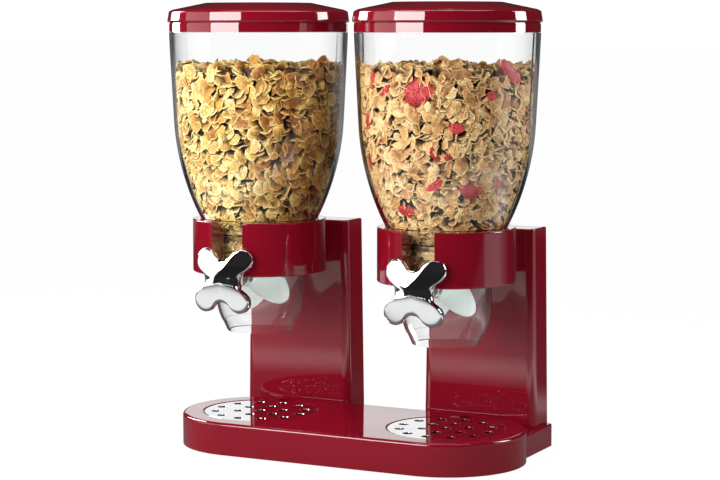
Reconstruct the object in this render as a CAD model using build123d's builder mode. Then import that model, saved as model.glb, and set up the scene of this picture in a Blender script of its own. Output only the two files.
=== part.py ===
"""Double cereal dispenser: one base, two towers, and in each collar a lift-out clear canister.

Millimetres, +Z up. The origin is under the middle of the bounding box, on the floor.
"""
import math
import os
from build123d import *

# Layout
total_height = 395.0
unit_spacing = 183.3
running_gap = 0.05
push_gap = 0.1
joint_gap = 0.3
seat_gap = 0.2

# Lid
lid_radius = 81.0
lid_plateau_radius = 47.0
lid_shoulder_radius = 76.0
lid_shoulder_drop = 6.0
lid_band_top_radius = 79.6
lid_band_top_drop = 8.0
lid_band_height = 8.0
lid_band_step = 1.5
lid_groove_depth = 0.6
lid_groove_height = 0.8
lid_skirt_depth = 9.6
lid_skirt_wall = 1.4
lid_wall = 2.4
lid_rib_height = 3.2
lid_edge_radius = 1.2

# Canister
canister_wall = 3.0
canister_top_radius = 79.4
canister_rim_height = 9.6
canister_rim_wall = 1.9
bowl_radius = 75.5
bowl_height = 292.0
cone_top_radius = 52.4
cone_top_height = 204.5
mouth_radius = 24.0
mouth_height = 181.5
mouth_wall = 2.4
spigot_wall = 2.0
spigot_depth = 4.5

# Wheel chamber
chamber_radius = 39.2
chamber_wall = 2.4
chamber_curve_height = 136.0
outlet_band_radius = 33.6
outlet_band_height = 113.0
outlet_band_step = 0.5
outlet_radius = 29.2
outlet_height = 103.3
boss_radius = 9.5
front_boss_reach = 47.0
boss_inner_reach = 29.0
rear_boss_radius = 8.0
rear_bearing_depth = 8.6

# Shaft, bushes and paddle wheel
shaft_height = 154.4
shaft_radius = 4.0
shaft_square = 5.6
shaft_rear_radius = 2.75
bush_wall = 2.2
bush_flange_radius = 8.0
bush_flange_thickness = 1.5
wheel_radius = 34.5
vane_count = 6
vane_thickness = 1.6
vane_angle = 12.0
core_radius = 5.0
sleeve_radius = 6.8
pocket_gap = 1.0

# Knob
knob_front = 73.0
knob_thickness = 10.0
knob_lobe_radius = 9.8
knob_lobe_x = 17.0
knob_lobe_z = 18.0
knob_notch_radius = 10.5
knob_front_edge = 3.6
knob_rear_edge = 1.6
knob_stem_radius = 7.5
knob_socket_wall = 4.5

# Collar and its neck
collar_radius = 59.5
collar_bore = 41.3
collar_bottom = 157.3
collar_top = 204.2
collar_slot_width = 30.0
collar_wall = 2.6
collar_edge_radius = 1.2
collar_seam_back = 12.0
collar_seam_width = 0.8
collar_seam_depth = 0.6
neck_half_width = 28.0
neck_corner_radius = 6.0

# Tower
tower_front = 70.0
tower_depth = 31.0
tower_top = 197.5
tower_top_half_width = 51.5
tower_draft = 0.9
tower_wall = 2.5
tower_corner_radius = 7.5
tower_edge_radius = 1.4
back_cover_thickness = 2.5

# Base
base_top = 29.4
base_end_radius = 69.8
base_back = 67.6
base_wall = 2.6
base_edge_radius = 2.8
floor_clearance = 1.0
block_top = 21.0
block_half_width = 151.5
block_rear_margin = 1.0
block_corner_radius = 5.0
block_edge_radius = 1.6
bottom_cover_thickness = 3.4
well_radius = 52.2
well_depth = 12.0
ledge_depth = 2.2
ledge_width = 4.7
notch_radius = 9.5
notch_depth = 7.0
foot_radius = 9.0
foot_pocket_depth = 0.8
foot_front = 45.0
foot_rear = 84.0
foot_side_front = 120.0
foot_side_rear = 132.0

# Crumb grate
grate_gap = 1.3
grate_thickness = 1.6
grate_hole_radius = 4.0
grate_ring_holes = 6
grate_inner_ring = 20.0
grate_outer_ring = 40.0
grate_edge_bevel = 0.5

# Screws
screw_radius = 1.75
screw_head_radius = 3.4
screw_head_height = 2.2
screw_length = 11.0
screw_slot_width = 0.9
screw_slot_depth = 1.1
screw_hole_radius = 2.1
post_wall = 2.4
post_inset = 10.0
tower_screw_offset = 38.0
collar_screw_x = 18.0
collar_screw_margin = 13.0
cover_screw_front = 55.0
cover_screw_side = 56.5
cover_screw_side_y = 22.0
cover_screw_rear = 84.0

# Places worked out from the sizes above
block_rear = tower_front + tower_depth + block_rear_margin
axis_y = (lid_radius - block_rear) / 2
side_offset = unit_spacing / 2
sides = (("left", -side_offset), ("right", side_offset))
pilot_radius = screw_radius + running_gap
post_radius = pilot_radius + post_wall
pilot_depth = screw_length + joint_gap
tower_rear = tower_front + tower_depth
lid_bottom = total_height - lid_band_top_drop - lid_band_height - lid_skirt_depth
rim_radius = canister_top_radius - lid_skirt_wall - joint_gap
shoulder_height = lid_bottom - joint_gap
rim_top = shoulder_height + canister_rim_height
rim_inner_radius = rim_radius - canister_rim_wall
cone_slope = (cone_top_radius - mouth_radius) / (cone_top_height - mouth_height)
cone_gap = joint_gap * math.hypot(1, cone_slope)
chamber_inner_radius = chamber_radius - chamber_wall
bush_radius = shaft_radius + running_gap + bush_wall
rear_bush_radius = shaft_rear_radius + running_gap + bush_wall
collar_seat_start = mouth_height + (collar_bore - cone_gap - mouth_radius) / cone_slope
collar_seat_radius = mouth_radius + cone_gap + (collar_top - mouth_height) * cone_slope
grate_radius = well_radius - grate_gap
knob_rear = knob_front - knob_thickness
lowest_shell = floor_clearance
post_rear = tower_rear - back_cover_thickness
head_pocket_radius = screw_head_radius + joint_gap
cover_screw_seat = lowest_shell + screw_head_height + seat_gap
back_screw_seat = tower_rear - back_cover_thickness / 2

tower_screw_places = [(x, tower_front + tower_depth / 2) for x in (-tower_screw_offset, tower_screw_offset)]
collar_screw_heights = (collar_bottom + collar_screw_margin, tower_top - collar_screw_margin)
collar_screw_places = [(x, z) for x in (-collar_screw_x, collar_screw_x) for z in collar_screw_heights]
front_screw_places = [
    (0, -cover_screw_front),
    (-side_offset - cover_screw_side, cover_screw_side_y),
    (side_offset + cover_screw_side, cover_screw_side_y),
]
rear_screw_places = [(0, cover_screw_rear)]
cover_screw_places = front_screw_places + rear_screw_places
foot_places = [(x, -foot_front) for x in (-foot_side_front, foot_side_front)]
foot_places += [(x, foot_rear) for x in (-foot_side_rear, foot_side_rear)]


def plan(side_x, height):
    """Level plane at a height, centred on a canister's axis, or between them at side_x 0."""
    return Plane(origin=(side_x, axis_y, height))


def facing(side_x, distance, height=0.0):
    """Upright plane behind a canister's axis by a distance, facing the front."""
    return Plane(origin=(side_x, axis_y + distance, height), x_dir=(1, 0, 0), z_dir=(0, -1, 0))


def upright(side_x):
    """A canister's axis."""
    return Axis((side_x, axis_y, 0), (0, 0, 1))


def cone_height(radius):
    """Height at which the outside of the canister's cone has a radius."""
    return mouth_height + (radius - mouth_radius) / cone_slope


def tower_half_width(height):
    """Half the tower's outer width at a height: the sides widen downwards."""
    return tower_top_half_width + (tower_top - height) * math.tan(math.radians(tower_draft))


def post_places():
    """Screw posts behind the back cover, one near each corner of the tower."""
    heights = (block_top + tower_wall + post_inset, tower_top - tower_wall - post_inset)
    return [(s * (tower_half_width(z) - post_inset), z) for s in (-1, 1) for z in heights]


def save(builder, label):
    """Names a finished piece and writes it."""
    builder.part.label = label
    export_step(builder.part, f"parts/{label}.step")


def tower_outline(inset, bottom, top):
    """Tapered outline of a tower, drawn inside its outer faces by an inset."""
    low = tower_half_width(bottom) - inset
    high = tower_half_width(top) - inset
    with BuildLine(mode=Mode.PRIVATE) as outline:
        Polyline((-low, bottom), (low, bottom), (high, top), (-high, top), close=True)
    return outline.edges()


def base_sketch(inset):
    """Stadium outline of the raised front of the base, with its straight back edge."""
    reach = 2 * (side_offset + base_end_radius)
    SlotCenterToCenter(unit_spacing, 2 * (base_end_radius - inset))
    with Locations((0, base_back - inset)):
        Rectangle(reach, reach, align=(Align.CENTER, Align.MAX), mode=Mode.INTERSECT)


def block_sketch(inset):
    """Outline of the lower rear block, from the canister axes back."""
    depth = block_rear - inset
    RectangleRounded(2 * (block_half_width - inset), 2 * depth, block_corner_radius - inset / 2)
    Rectangle(2 * block_half_width, depth, align=(Align.CENTER, Align.MIN), mode=Mode.INTERSECT)


def build_base_shell():
    with BuildPart() as shell:
        with BuildSketch(plan(0, lowest_shell)):
            block_sketch(0)
        extrude(amount=block_top - lowest_shell)
        fillet(shell.faces().sort_by(Axis.Z)[-1].edges(), block_edge_radius)
        with BuildSketch(plan(0, lowest_shell)):
            base_sketch(0)
        extrude(amount=base_top - lowest_shell)
        fillet(shell.faces().sort_by(Axis.Z)[-1].edges(), base_edge_radius)
        with BuildSketch(plan(0, lowest_shell)):
            base_sketch(base_wall)
        extrude(amount=base_top - base_wall - lowest_shell, mode=Mode.SUBTRACT)
        with BuildSketch(plan(0, lowest_shell)):
            block_sketch(base_wall)
        extrude(amount=block_top - base_wall - lowest_shell, mode=Mode.SUBTRACT)
        for _, side_x in sides:
            well_floor = base_top - well_depth
            with BuildSketch(plan(side_x, well_floor - base_wall)):
                Circle(well_radius + base_wall)
            extrude(amount=well_depth)
            with BuildSketch(plan(side_x, base_top)):
                with Locations((0, well_radius)):
                    Circle(notch_radius + base_wall)
            extrude(amount=-notch_depth - base_wall)
            with BuildSketch(plan(side_x, base_top)):
                Circle(well_radius)
            extrude(amount=-ledge_depth, mode=Mode.SUBTRACT)
            with BuildSketch(plan(side_x, base_top)):
                Circle(well_radius - ledge_width)
            extrude(amount=-well_depth, mode=Mode.SUBTRACT)
            with BuildSketch(plan(side_x, base_top)):
                with Locations((0, well_radius)):
                    Circle(notch_radius)
            extrude(amount=-notch_depth, mode=Mode.SUBTRACT)
            with BuildSketch(plan(side_x, block_top)):
                with Locations(*tower_screw_places):
                    Circle(screw_hole_radius)
            extrude(amount=-base_wall, mode=Mode.SUBTRACT)
        for places, top in ((front_screw_places, base_top), (rear_screw_places, block_top)):
            with BuildSketch(plan(0, lowest_shell + bottom_cover_thickness)):
                with Locations(*places):
                    Circle(post_radius)
            extrude(amount=top - base_wall - lowest_shell - bottom_cover_thickness)
        with BuildSketch(plan(0, lowest_shell + bottom_cover_thickness)):
            with Locations(*cover_screw_places):
                Circle(pilot_radius)
        extrude(amount=pilot_depth, mode=Mode.SUBTRACT)
    save(shell, "base_shell")


def build_bottom_cover():
    with BuildPart() as cover:
        with BuildSketch(plan(0, lowest_shell)):
            base_sketch(base_wall + joint_gap)
        extrude(amount=bottom_cover_thickness)
        with BuildSketch(plan(0, lowest_shell)):
            block_sketch(base_wall + joint_gap)
        extrude(amount=bottom_cover_thickness)
        with BuildSketch(plan(0, lowest_shell)):
            with Locations(*foot_places):
                Circle(foot_radius + joint_gap)
        extrude(amount=foot_pocket_depth, mode=Mode.SUBTRACT)
        with BuildSketch(plan(0, lowest_shell)):
            with Locations(*cover_screw_places):
                Circle(screw_hole_radius)
        extrude(amount=bottom_cover_thickness, mode=Mode.SUBTRACT)
        with BuildSketch(plan(0, lowest_shell)):
            with Locations(*cover_screw_places):
                Circle(head_pocket_radius)
        extrude(amount=cover_screw_seat - lowest_shell, mode=Mode.SUBTRACT)
    save(cover, "base_bottom_cover")


def build_feet():
    with BuildPart() as feet:
        with BuildSketch(plan(0, 0)):
            with Locations(*foot_places):
                Circle(foot_radius)
        extrude(amount=floor_clearance + foot_pocket_depth)
    save(feet, "rubber_feet")


def screw_seat(x, distance, height, direction):
    """Plane under a screw's head: direction points out of the head."""
    return Plane(origin=(x, axis_y + distance, height), z_dir=direction)


def build_screws(label, seats):
    """Pan-head screws: each seat is a plane under the head, facing out of the head."""
    with BuildPart() as screws:
        with Locations(*seats):
            Cylinder(screw_radius, screw_length, align=(Align.CENTER, Align.CENTER, Align.MAX))
            Cylinder(screw_head_radius, screw_head_height, align=(Align.CENTER, Align.CENTER, Align.MIN))
        with Locations(*[seat.offset(screw_head_height - screw_slot_depth) for seat in seats]):
            for turn in (0, 90):
                Box(screw_head_radius, screw_slot_width, screw_slot_depth, rotation=(0, 0, turn),
                    align=(Align.CENTER, Align.CENTER, Align.MIN), mode=Mode.SUBTRACT)
    save(screws, label)


def build_tower(side, side_x):
    with BuildPart() as tower:
        with BuildSketch(facing(side_x, tower_rear)):
            make_face(tower_outline(0, block_top, tower_top))
        extrude(amount=tower_depth)
        front_edges = tower.faces().sort_by(Axis.Y)[0].edges().sort_by(Axis.X)
        fillet((front_edges[0], front_edges[-1]), tower_corner_radius)
        fillet(tower.faces().sort_by(Axis.Z)[-1].edges(), tower_edge_radius)
        with BuildSketch(facing(side_x, tower_rear)):
            make_face(tower_outline(tower_wall, block_top + tower_wall, tower_top - tower_wall))
            fillet(vertices(), tower_wall)
        extrude(amount=tower_depth - tower_wall, mode=Mode.SUBTRACT)
        with BuildSketch(facing(side_x, post_rear)):
            with Locations(*post_places()):
                Circle(post_radius)
        extrude(amount=post_rear - tower_front - tower_wall / 2)
        with BuildSketch(facing(side_x, post_rear)):
            with Locations(*post_places()):
                Circle(pilot_radius)
        extrude(amount=pilot_depth, mode=Mode.SUBTRACT)
        with BuildSketch(plan(side_x, block_top)):
            with Locations(*tower_screw_places):
                Circle(post_radius)
        extrude(amount=tower_wall + pilot_depth)
        with BuildSketch(plan(side_x, block_top)):
            with Locations(*tower_screw_places):
                Circle(pilot_radius)
        extrude(amount=pilot_depth, mode=Mode.SUBTRACT)
        with BuildSketch(facing(side_x, tower_front + tower_wall)):
            with Locations(*collar_screw_places):
                Circle(screw_hole_radius)
        extrude(amount=tower_wall, mode=Mode.SUBTRACT)
    save(tower, f"tower_{side}")


def build_back_cover(side, side_x):
    inset = tower_wall + joint_gap
    with BuildPart() as cover:
        with BuildSketch(facing(side_x, tower_rear)):
            make_face(tower_outline(inset, block_top + inset, tower_top - inset))
            fillet(vertices(), tower_wall)
        extrude(amount=back_cover_thickness)
        with BuildSketch(facing(side_x, tower_rear)):
            with Locations(*post_places()):
                Circle(screw_hole_radius)
        extrude(amount=back_cover_thickness, mode=Mode.SUBTRACT)
        with BuildSketch(facing(side_x, tower_rear)):
            with Locations(*post_places()):
                Circle(head_pocket_radius)
        extrude(amount=tower_rear - back_screw_seat, mode=Mode.SUBTRACT)
    save(cover, f"tower_back_cover_{side}")


def seat_cutter(side_x):
    """The bore of a collar and the conical seat above it, as a solid to cut away."""
    with BuildPart() as cutter:
        with BuildSketch(facing(side_x, 0)):
            with BuildLine():
                Polyline(
                    (0, collar_bottom), (collar_bore, collar_bottom), (collar_bore, collar_seat_start),
                    (collar_seat_radius, collar_top), (0, collar_top), close=True,
                )
            make_face()
        revolve(axis=upright(side_x))
    return cutter.part


def build_collar(side, side_x):
    cheek = collar_slot_width / 2 + collar_wall
    reach = 2 * tower_front
    seat = seat_cutter(side_x)
    with BuildPart() as collar:
        with BuildSketch(plan(side_x, collar_bottom)) as outline:
            Circle(collar_radius)
            Rectangle(2 * neck_half_width, tower_front, align=(Align.CENTER, Align.MIN))
            fillet(outline.vertices().group_by(Axis.Y)[-2], neck_corner_radius)
            Rectangle(collar_slot_width, reach, align=(Align.CENTER, Align.MAX), mode=Mode.SUBTRACT)
        extrude(amount=collar_top - collar_bottom)
        fillet(collar.edges().filter_by(GeomType.CIRCLE).group_by(SortBy.RADIUS)[-1], collar_edge_radius)
        with BuildSketch(plan(side_x, collar_bottom)):
            with Locations((0, collar_seam_back)):
                Rectangle(reach, collar_seam_width)
            Circle(collar_radius - collar_seam_depth, mode=Mode.SUBTRACT)
        extrude(amount=collar_top - collar_bottom, mode=Mode.SUBTRACT)
        with BuildSketch(plan(side_x, tower_top)):
            with Locations((0, collar_radius)):
                Rectangle(reach, reach, align=(Align.CENTER, Align.MIN))
        extrude(amount=collar_top - tower_top, mode=Mode.SUBTRACT)
        add(seat, mode=Mode.SUBTRACT)
        with BuildSketch(plan(side_x, collar_bottom)):
            Circle(collar_radius - collar_wall)
            Rectangle(2 * (neck_half_width - collar_wall), tower_front - collar_wall,
                      align=(Align.CENTER, Align.MIN))
            Circle(collar_bore + collar_wall, mode=Mode.SUBTRACT)
            Rectangle(2 * cheek, reach, align=(Align.CENTER, Align.MAX), mode=Mode.SUBTRACT)
        extrude(amount=collar_seat_start - collar_wall - collar_bottom, mode=Mode.SUBTRACT)
        with BuildSketch(facing(side_x, tower_front)):
            with Locations(*collar_screw_places):
                Circle(post_radius)
        extrude(amount=pilot_depth)
        with BuildSketch(facing(side_x, tower_front)):
            with Locations(*collar_screw_places):
                Circle(pilot_radius)
        extrude(amount=pilot_depth, mode=Mode.SUBTRACT)
    save(collar, f"collar_{side}")


def hopper_outline(top, bowl, cone_top, mouth):
    """Half outline of a canister's inside or outside, from the points of its wall."""
    tangent = (bowl[0] - top[0], bowl[1] - top[1])
    with BuildLine(mode=Mode.PRIVATE) as outline:
        Polyline((0, mouth[1]), mouth, cone_top)
        Line(top, bowl)
        TangentArc(bowl, cone_top, tangent=tangent)
        Polyline(top, (0, top[1]), (0, mouth[1]))
    return outline.edges()


def build_canister(side, side_x):
    lean = math.atan2(cone_top_radius - mouth_radius, cone_top_height - mouth_height)
    cone_top_inside = (
        cone_top_radius - canister_wall * math.cos(lean / 2),
        cone_top_height + canister_wall * math.sin(lean / 2),
    )
    with BuildPart() as canister:
        with BuildSketch(facing(side_x, 0)):
            make_face(hopper_outline((canister_top_radius, shoulder_height), (bowl_radius, bowl_height),
                                     (cone_top_radius, cone_top_height), (mouth_radius, mouth_height)))
            with Locations((0, shoulder_height)):
                Rectangle(rim_radius, canister_rim_height, align=(Align.MIN, Align.MIN))
        revolve(axis=upright(side_x))
        with BuildSketch(facing(side_x, 0)):
            with Locations((chamber_inner_radius - joint_gap, cone_height(chamber_inner_radius))):
                Rectangle(spigot_wall, spigot_depth + canister_wall / 2, align=(Align.MAX, Align.MAX))
        revolve(axis=upright(side_x))
        with BuildSketch(facing(side_x, 0)):
            make_face(hopper_outline((rim_inner_radius, rim_top), (bowl_radius - canister_wall, bowl_height),
                                     cone_top_inside, (mouth_radius - mouth_wall, mouth_height)))
        revolve(axis=upright(side_x), mode=Mode.SUBTRACT)
    save(canister, f"canister_{side}")


def chamber_outline(inset, top):
    """Half outline of the wheel chamber: a cylinder that curves in to the outlet."""
    side_radius = chamber_radius - inset
    with BuildLine(mode=Mode.PRIVATE) as outline:
        Polyline((0, outlet_height), (outlet_radius - inset, outlet_height),
                 (outlet_band_radius - inset, outlet_band_height))
        TangentArc((side_radius, chamber_curve_height),
                   (outlet_band_radius + outlet_band_step - inset, outlet_band_height), tangent=(0, -1))
        Line((outlet_band_radius - inset, outlet_band_height),
             (outlet_band_radius + outlet_band_step - inset, outlet_band_height))
        Polyline((side_radius, chamber_curve_height), (side_radius, top), (0, top), (0, outlet_height))
    return outline.edges()


def build_chamber(side, side_x):
    top = cone_height(chamber_inner_radius) - joint_gap
    with BuildPart() as chamber:
        with BuildSketch(facing(side_x, 0)):
            make_face(chamber_outline(0, top))
        revolve(axis=upright(side_x))
        with BuildSketch(facing(side_x, 0)):
            make_face(chamber_outline(chamber_wall, top))
        revolve(axis=upright(side_x), mode=Mode.SUBTRACT)
        with BuildSketch(facing(side_x, -boss_inner_reach, shaft_height)):
            Circle(boss_radius)
        extrude(amount=front_boss_reach - boss_inner_reach)
        with BuildSketch(facing(side_x, chamber_inner_radius + chamber_wall / 2, shaft_height)):
            Circle(rear_boss_radius)
        extrude(amount=chamber_inner_radius + chamber_wall / 2 - boss_inner_reach)
        with BuildSketch(facing(side_x, -boss_inner_reach, shaft_height)):
            Circle(bush_radius + push_gap)
        extrude(amount=front_boss_reach - boss_inner_reach, mode=Mode.SUBTRACT)
        with BuildSketch(facing(side_x, boss_inner_reach + rear_bearing_depth, shaft_height)):
            Circle(rear_bush_radius + push_gap)
        extrude(amount=rear_bearing_depth, mode=Mode.SUBTRACT)
    save(chamber, f"wheel_chamber_{side}")


def build_bushes(side, side_x):
    with BuildPart() as front_bush:
        with BuildSketch(facing(side_x, -boss_inner_reach, shaft_height)):
            Circle(bush_radius)
        extrude(amount=front_boss_reach - boss_inner_reach)
        with BuildSketch(facing(side_x, -front_boss_reach, shaft_height)):
            Circle(bush_flange_radius)
        extrude(amount=bush_flange_thickness)
        with BuildSketch(facing(side_x, -boss_inner_reach, shaft_height)):
            Circle(shaft_radius + running_gap)
        extrude(amount=front_boss_reach + bush_flange_thickness - boss_inner_reach, mode=Mode.SUBTRACT)
    save(front_bush, f"front_bush_{side}")
    with BuildPart() as rear_bush:
        with BuildSketch(facing(side_x, boss_inner_reach + rear_bearing_depth - push_gap, shaft_height)):
            Circle(rear_bush_radius)
            Circle(shaft_rear_radius + running_gap, mode=Mode.SUBTRACT)
        extrude(amount=rear_bearing_depth - push_gap)
    save(rear_bush, f"rear_bush_{side}")


def build_shaft(side, side_x):
    square_end = boss_inner_reach - joint_gap
    rear_end = boss_inner_reach + rear_bearing_depth - joint_gap
    with BuildPart() as shaft:
        with BuildSketch(facing(side_x, -square_end, shaft_height)):
            Circle(shaft_radius)
        extrude(amount=knob_front - knob_socket_wall - joint_gap - square_end)
        with BuildSketch(facing(side_x, square_end, shaft_height)):
            Rectangle(shaft_square, shaft_square)
        extrude(amount=2 * square_end)
        with BuildSketch(facing(side_x, rear_end, shaft_height)):
            Circle(shaft_rear_radius)
        extrude(amount=rear_end - square_end)
    save(shaft, f"knob_shaft_{side}")


def vane_plane(side_x, angle):
    """Plane of one vane: x points out of the shaft at an angle from +X, y runs along the shaft."""
    turn = math.radians(angle)
    return Plane(origin=(side_x, axis_y, shaft_height), x_dir=(math.cos(turn), 0, math.sin(turn)),
                 z_dir=(math.sin(turn), 0, -math.cos(turn)))


def build_wheel(side, side_x):
    core_end = boss_inner_reach - joint_gap
    with BuildPart() as core:
        with BuildSketch(facing(side_x, core_end, shaft_height)):
            Circle(core_radius)
            Rectangle(shaft_square + push_gap, shaft_square + push_gap, mode=Mode.SUBTRACT)
        extrude(amount=2 * core_end)
    save(core, f"paddle_core_{side}")
    with BuildPart() as vanes:
        for index in range(vane_count):
            with BuildSketch(vane_plane(side_x, vane_angle + index * 360 / vane_count)):
                Circle(wheel_radius)
                Rectangle(wheel_radius, 2 * wheel_radius, align=(Align.MIN, Align.CENTER),
                          mode=Mode.INTERSECT)
            extrude(amount=vane_thickness / 2, both=True)
        with BuildSketch(facing(side_x, core_end, shaft_height)):
            Circle(sleeve_radius)
        extrude(amount=2 * core_end)
        for end in (-1, 1):
            with BuildSketch(facing(side_x, end * core_end, shaft_height)):
                Circle(boss_radius + pocket_gap)
            extrude(amount=-end * wheel_radius, mode=Mode.SUBTRACT)
        with BuildSketch(facing(side_x, 0, shaft_height)):
            Circle(core_radius + push_gap)
        extrude(amount=wheel_radius, both=True, mode=Mode.SUBTRACT)
    save(vanes, f"paddle_vanes_{side}")


def build_knob(side, side_x):
    arm = 2 * math.hypot(knob_lobe_x, knob_lobe_z)
    turn = math.degrees(math.atan2(knob_lobe_z, knob_lobe_x))
    stem_end = front_boss_reach + bush_flange_thickness + joint_gap
    with BuildPart() as knob:
        with BuildSketch(facing(side_x, -knob_rear, shaft_height)) as outline:
            for angle in (turn, -turn):
                SlotCenterToCenter(arm, 2 * knob_lobe_radius, rotation=angle)
            fillet(outline.vertices().group_by(lambda v: Vector(v).length)[0], knob_notch_radius)
        extrude(amount=knob_thickness)
        fillet(knob.faces().sort_by(Axis.Y)[0].edges(), knob_front_edge)
        fillet(knob.faces().sort_by(Axis.Y)[-1].edges(), knob_rear_edge)
        with BuildSketch(facing(side_x, -stem_end, shaft_height)):
            Circle(knob_stem_radius)
        extrude(amount=knob_rear + knob_socket_wall / 2 - stem_end)
        with BuildSketch(facing(side_x, -stem_end, shaft_height)):
            Circle(shaft_radius + running_gap)
        extrude(amount=knob_front - knob_socket_wall - stem_end, mode=Mode.SUBTRACT)
    save(knob, f"knob_{side}")


def build_lid(side, side_x):
    band_bottom = total_height - lid_band_top_drop - lid_band_height
    groove_top = band_bottom - lid_band_step
    skirt_radius = canister_top_radius
    skirt_inner = skirt_radius - lid_skirt_wall
    roof = total_height - lid_wall
    seal_top = rim_top + seat_gap + lid_rib_height
    with BuildPart() as lid:
        with BuildSketch(facing(side_x, 0)) as outline:
            with BuildLine():
                Polyline(
                    (0, lid_bottom), (skirt_radius, lid_bottom),
                    (skirt_radius, groove_top - lid_groove_height),
                    (skirt_radius - lid_groove_depth, groove_top - lid_groove_height),
                    (skirt_radius - lid_groove_depth, groove_top), (skirt_radius, groove_top),
                    (lid_radius, band_bottom), (lid_band_top_radius, band_bottom + lid_band_height),
                    (lid_shoulder_radius, total_height - lid_shoulder_drop),
                    (lid_plateau_radius, total_height), (0, total_height), close=True,
                )
            make_face()
            band_top = outline.vertices().sort_by(lambda v: -v.X - v.Y)
            fillet(band_top[:3], lid_edge_radius)
        revolve(axis=upright(side_x))
        with BuildSketch(facing(side_x, 0)):
            with BuildLine():
                Polyline(
                    (0, lid_bottom), (skirt_inner, lid_bottom), (skirt_inner, seal_top),
                    (rim_inner_radius - lid_wall, seal_top),
                    (rim_inner_radius - lid_wall, roof - lid_shoulder_drop),
                    (lid_plateau_radius, roof), (0, roof), close=True,
                )
            make_face()
        revolve(axis=upright(side_x), mode=Mode.SUBTRACT)
    save(lid, f"lid_{side}")
    with BuildPart() as seal:
        with BuildSketch(facing(side_x, 0)):
            with Locations((rim_radius, seal_top)):
                Rectangle(canister_rim_wall, lid_rib_height, align=(Align.MAX, Align.MAX))
        revolve(axis=upright(side_x))
    save(seal, f"lid_seal_{side}")


def build_grate(side, side_x):
    bottom = base_top - ledge_depth + seat_gap
    with BuildPart() as grate:
        with BuildSketch(plan(side_x, bottom)):
            Circle(grate_radius)
            Circle(grate_hole_radius, mode=Mode.SUBTRACT)
            with PolarLocations(grate_inner_ring, grate_ring_holes, start_angle=30):
                Circle(grate_hole_radius, mode=Mode.SUBTRACT)
            with PolarLocations(grate_outer_ring, 2 * grate_ring_holes):
                Circle(grate_hole_radius, mode=Mode.SUBTRACT)
        extrude(amount=grate_thickness)
        chamfer(grate.faces().sort_by(Axis.Z)[-1].edges(), grate_edge_bevel)
    save(grate, f"crumb_grate_{side}")


def build_all_screws():
    down = (0, 0, -1)
    back = (0, 1, 0)
    build_screws("base_screws", [screw_seat(x, y, cover_screw_seat, down) for x, y in cover_screw_places])
    build_screws("tower_screws", [
        screw_seat(side_x + x, y, block_top - base_wall, down)
        for _, side_x in sides for x, y in tower_screw_places
    ])
    build_screws("collar_screws", [
        screw_seat(side_x + x, tower_front + tower_wall, z, back)
        for _, side_x in sides for x, z in collar_screw_places
    ])
    build_screws("back_cover_screws", [
        screw_seat(side_x + x, back_screw_seat, z, back)
        for _, side_x in sides for x, z in post_places()
    ])


os.makedirs("parts", exist_ok=True)
build_base_shell()
build_bottom_cover()
build_feet()
build_all_screws()
for side_name, side_position in sides:
    build_tower(side_name, side_position)
    build_back_cover(side_name, side_position)
    build_collar(side_name, side_position)
    build_canister(side_name, side_position)
    build_chamber(side_name, side_position)
    build_bushes(side_name, side_position)
    build_shaft(side_name, side_position)
    build_wheel(side_name, side_position)
    build_knob(side_name, side_position)
    build_lid(side_name, side_position)
    build_grate(side_name, side_position)
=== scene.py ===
"""Looks of the double cereal dispenser: finishes, modelled pieces, cereal, studio and camera.

Metres, +Z up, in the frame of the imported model, whose nodes carry the sizes that pieces here are fitted to.
"""

import logging
import math
import random
from dataclasses import dataclass
from enum import Enum
from typing import Callable, Sequence

import bmesh
import bpy
import numpy as np
from mathutils import Matrix, Vector, noise


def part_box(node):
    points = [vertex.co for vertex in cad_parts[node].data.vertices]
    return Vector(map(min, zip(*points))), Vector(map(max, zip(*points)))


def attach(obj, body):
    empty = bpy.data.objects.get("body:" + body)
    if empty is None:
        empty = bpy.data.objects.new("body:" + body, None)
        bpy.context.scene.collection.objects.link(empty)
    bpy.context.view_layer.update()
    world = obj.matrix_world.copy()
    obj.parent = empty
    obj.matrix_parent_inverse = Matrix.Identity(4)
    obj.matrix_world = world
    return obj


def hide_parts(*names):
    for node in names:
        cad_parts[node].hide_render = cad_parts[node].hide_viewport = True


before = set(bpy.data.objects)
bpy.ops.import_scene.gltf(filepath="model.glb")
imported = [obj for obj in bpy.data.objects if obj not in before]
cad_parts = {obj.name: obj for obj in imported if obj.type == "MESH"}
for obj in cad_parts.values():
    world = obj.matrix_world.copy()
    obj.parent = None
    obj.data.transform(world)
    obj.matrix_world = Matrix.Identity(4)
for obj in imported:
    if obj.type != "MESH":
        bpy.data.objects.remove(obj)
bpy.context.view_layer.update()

BMesh = bmesh.types.BMesh
Colour = tuple[float, float, float]
Mesh = bpy.types.Mesh
Piece = bpy.types.Object
Points = np.ndarray
Range = tuple[float, float]
Rule = Callable[[Points], Points]
Socket = bpy.types.NodeSocket

MM = 0.001
SIDES = ("left", "right")
AXIS_X = 91.65 * MM
CAMERA_TURN = 26.62
RIM_ATTRIBUTE = "rim"
DEPTH_ATTRIBUTE = "depth"
log = logging.getLogger("dispenser")


def screen_colour(red: float, green: float, blue: float) -> Colour:
    """Turns a colour as a screen shows it, 0 to 255, into the linear values that shaders take.

    Args:
        red: Red, 0 to 255.
        green: Green, 0 to 255.
        blue: Blue, 0 to 255.

    Returns:
        The three linear values, 0 to 1.
    """
    def linear(value: float) -> float:
        """Undoes the screen curve for one channel."""
        share = value / 255
        return share / 12.92 if share <= 0.04045 else ((share + 0.055) / 1.055) ** 2.4
    return linear(red), linear(green), linear(blue)


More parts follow.
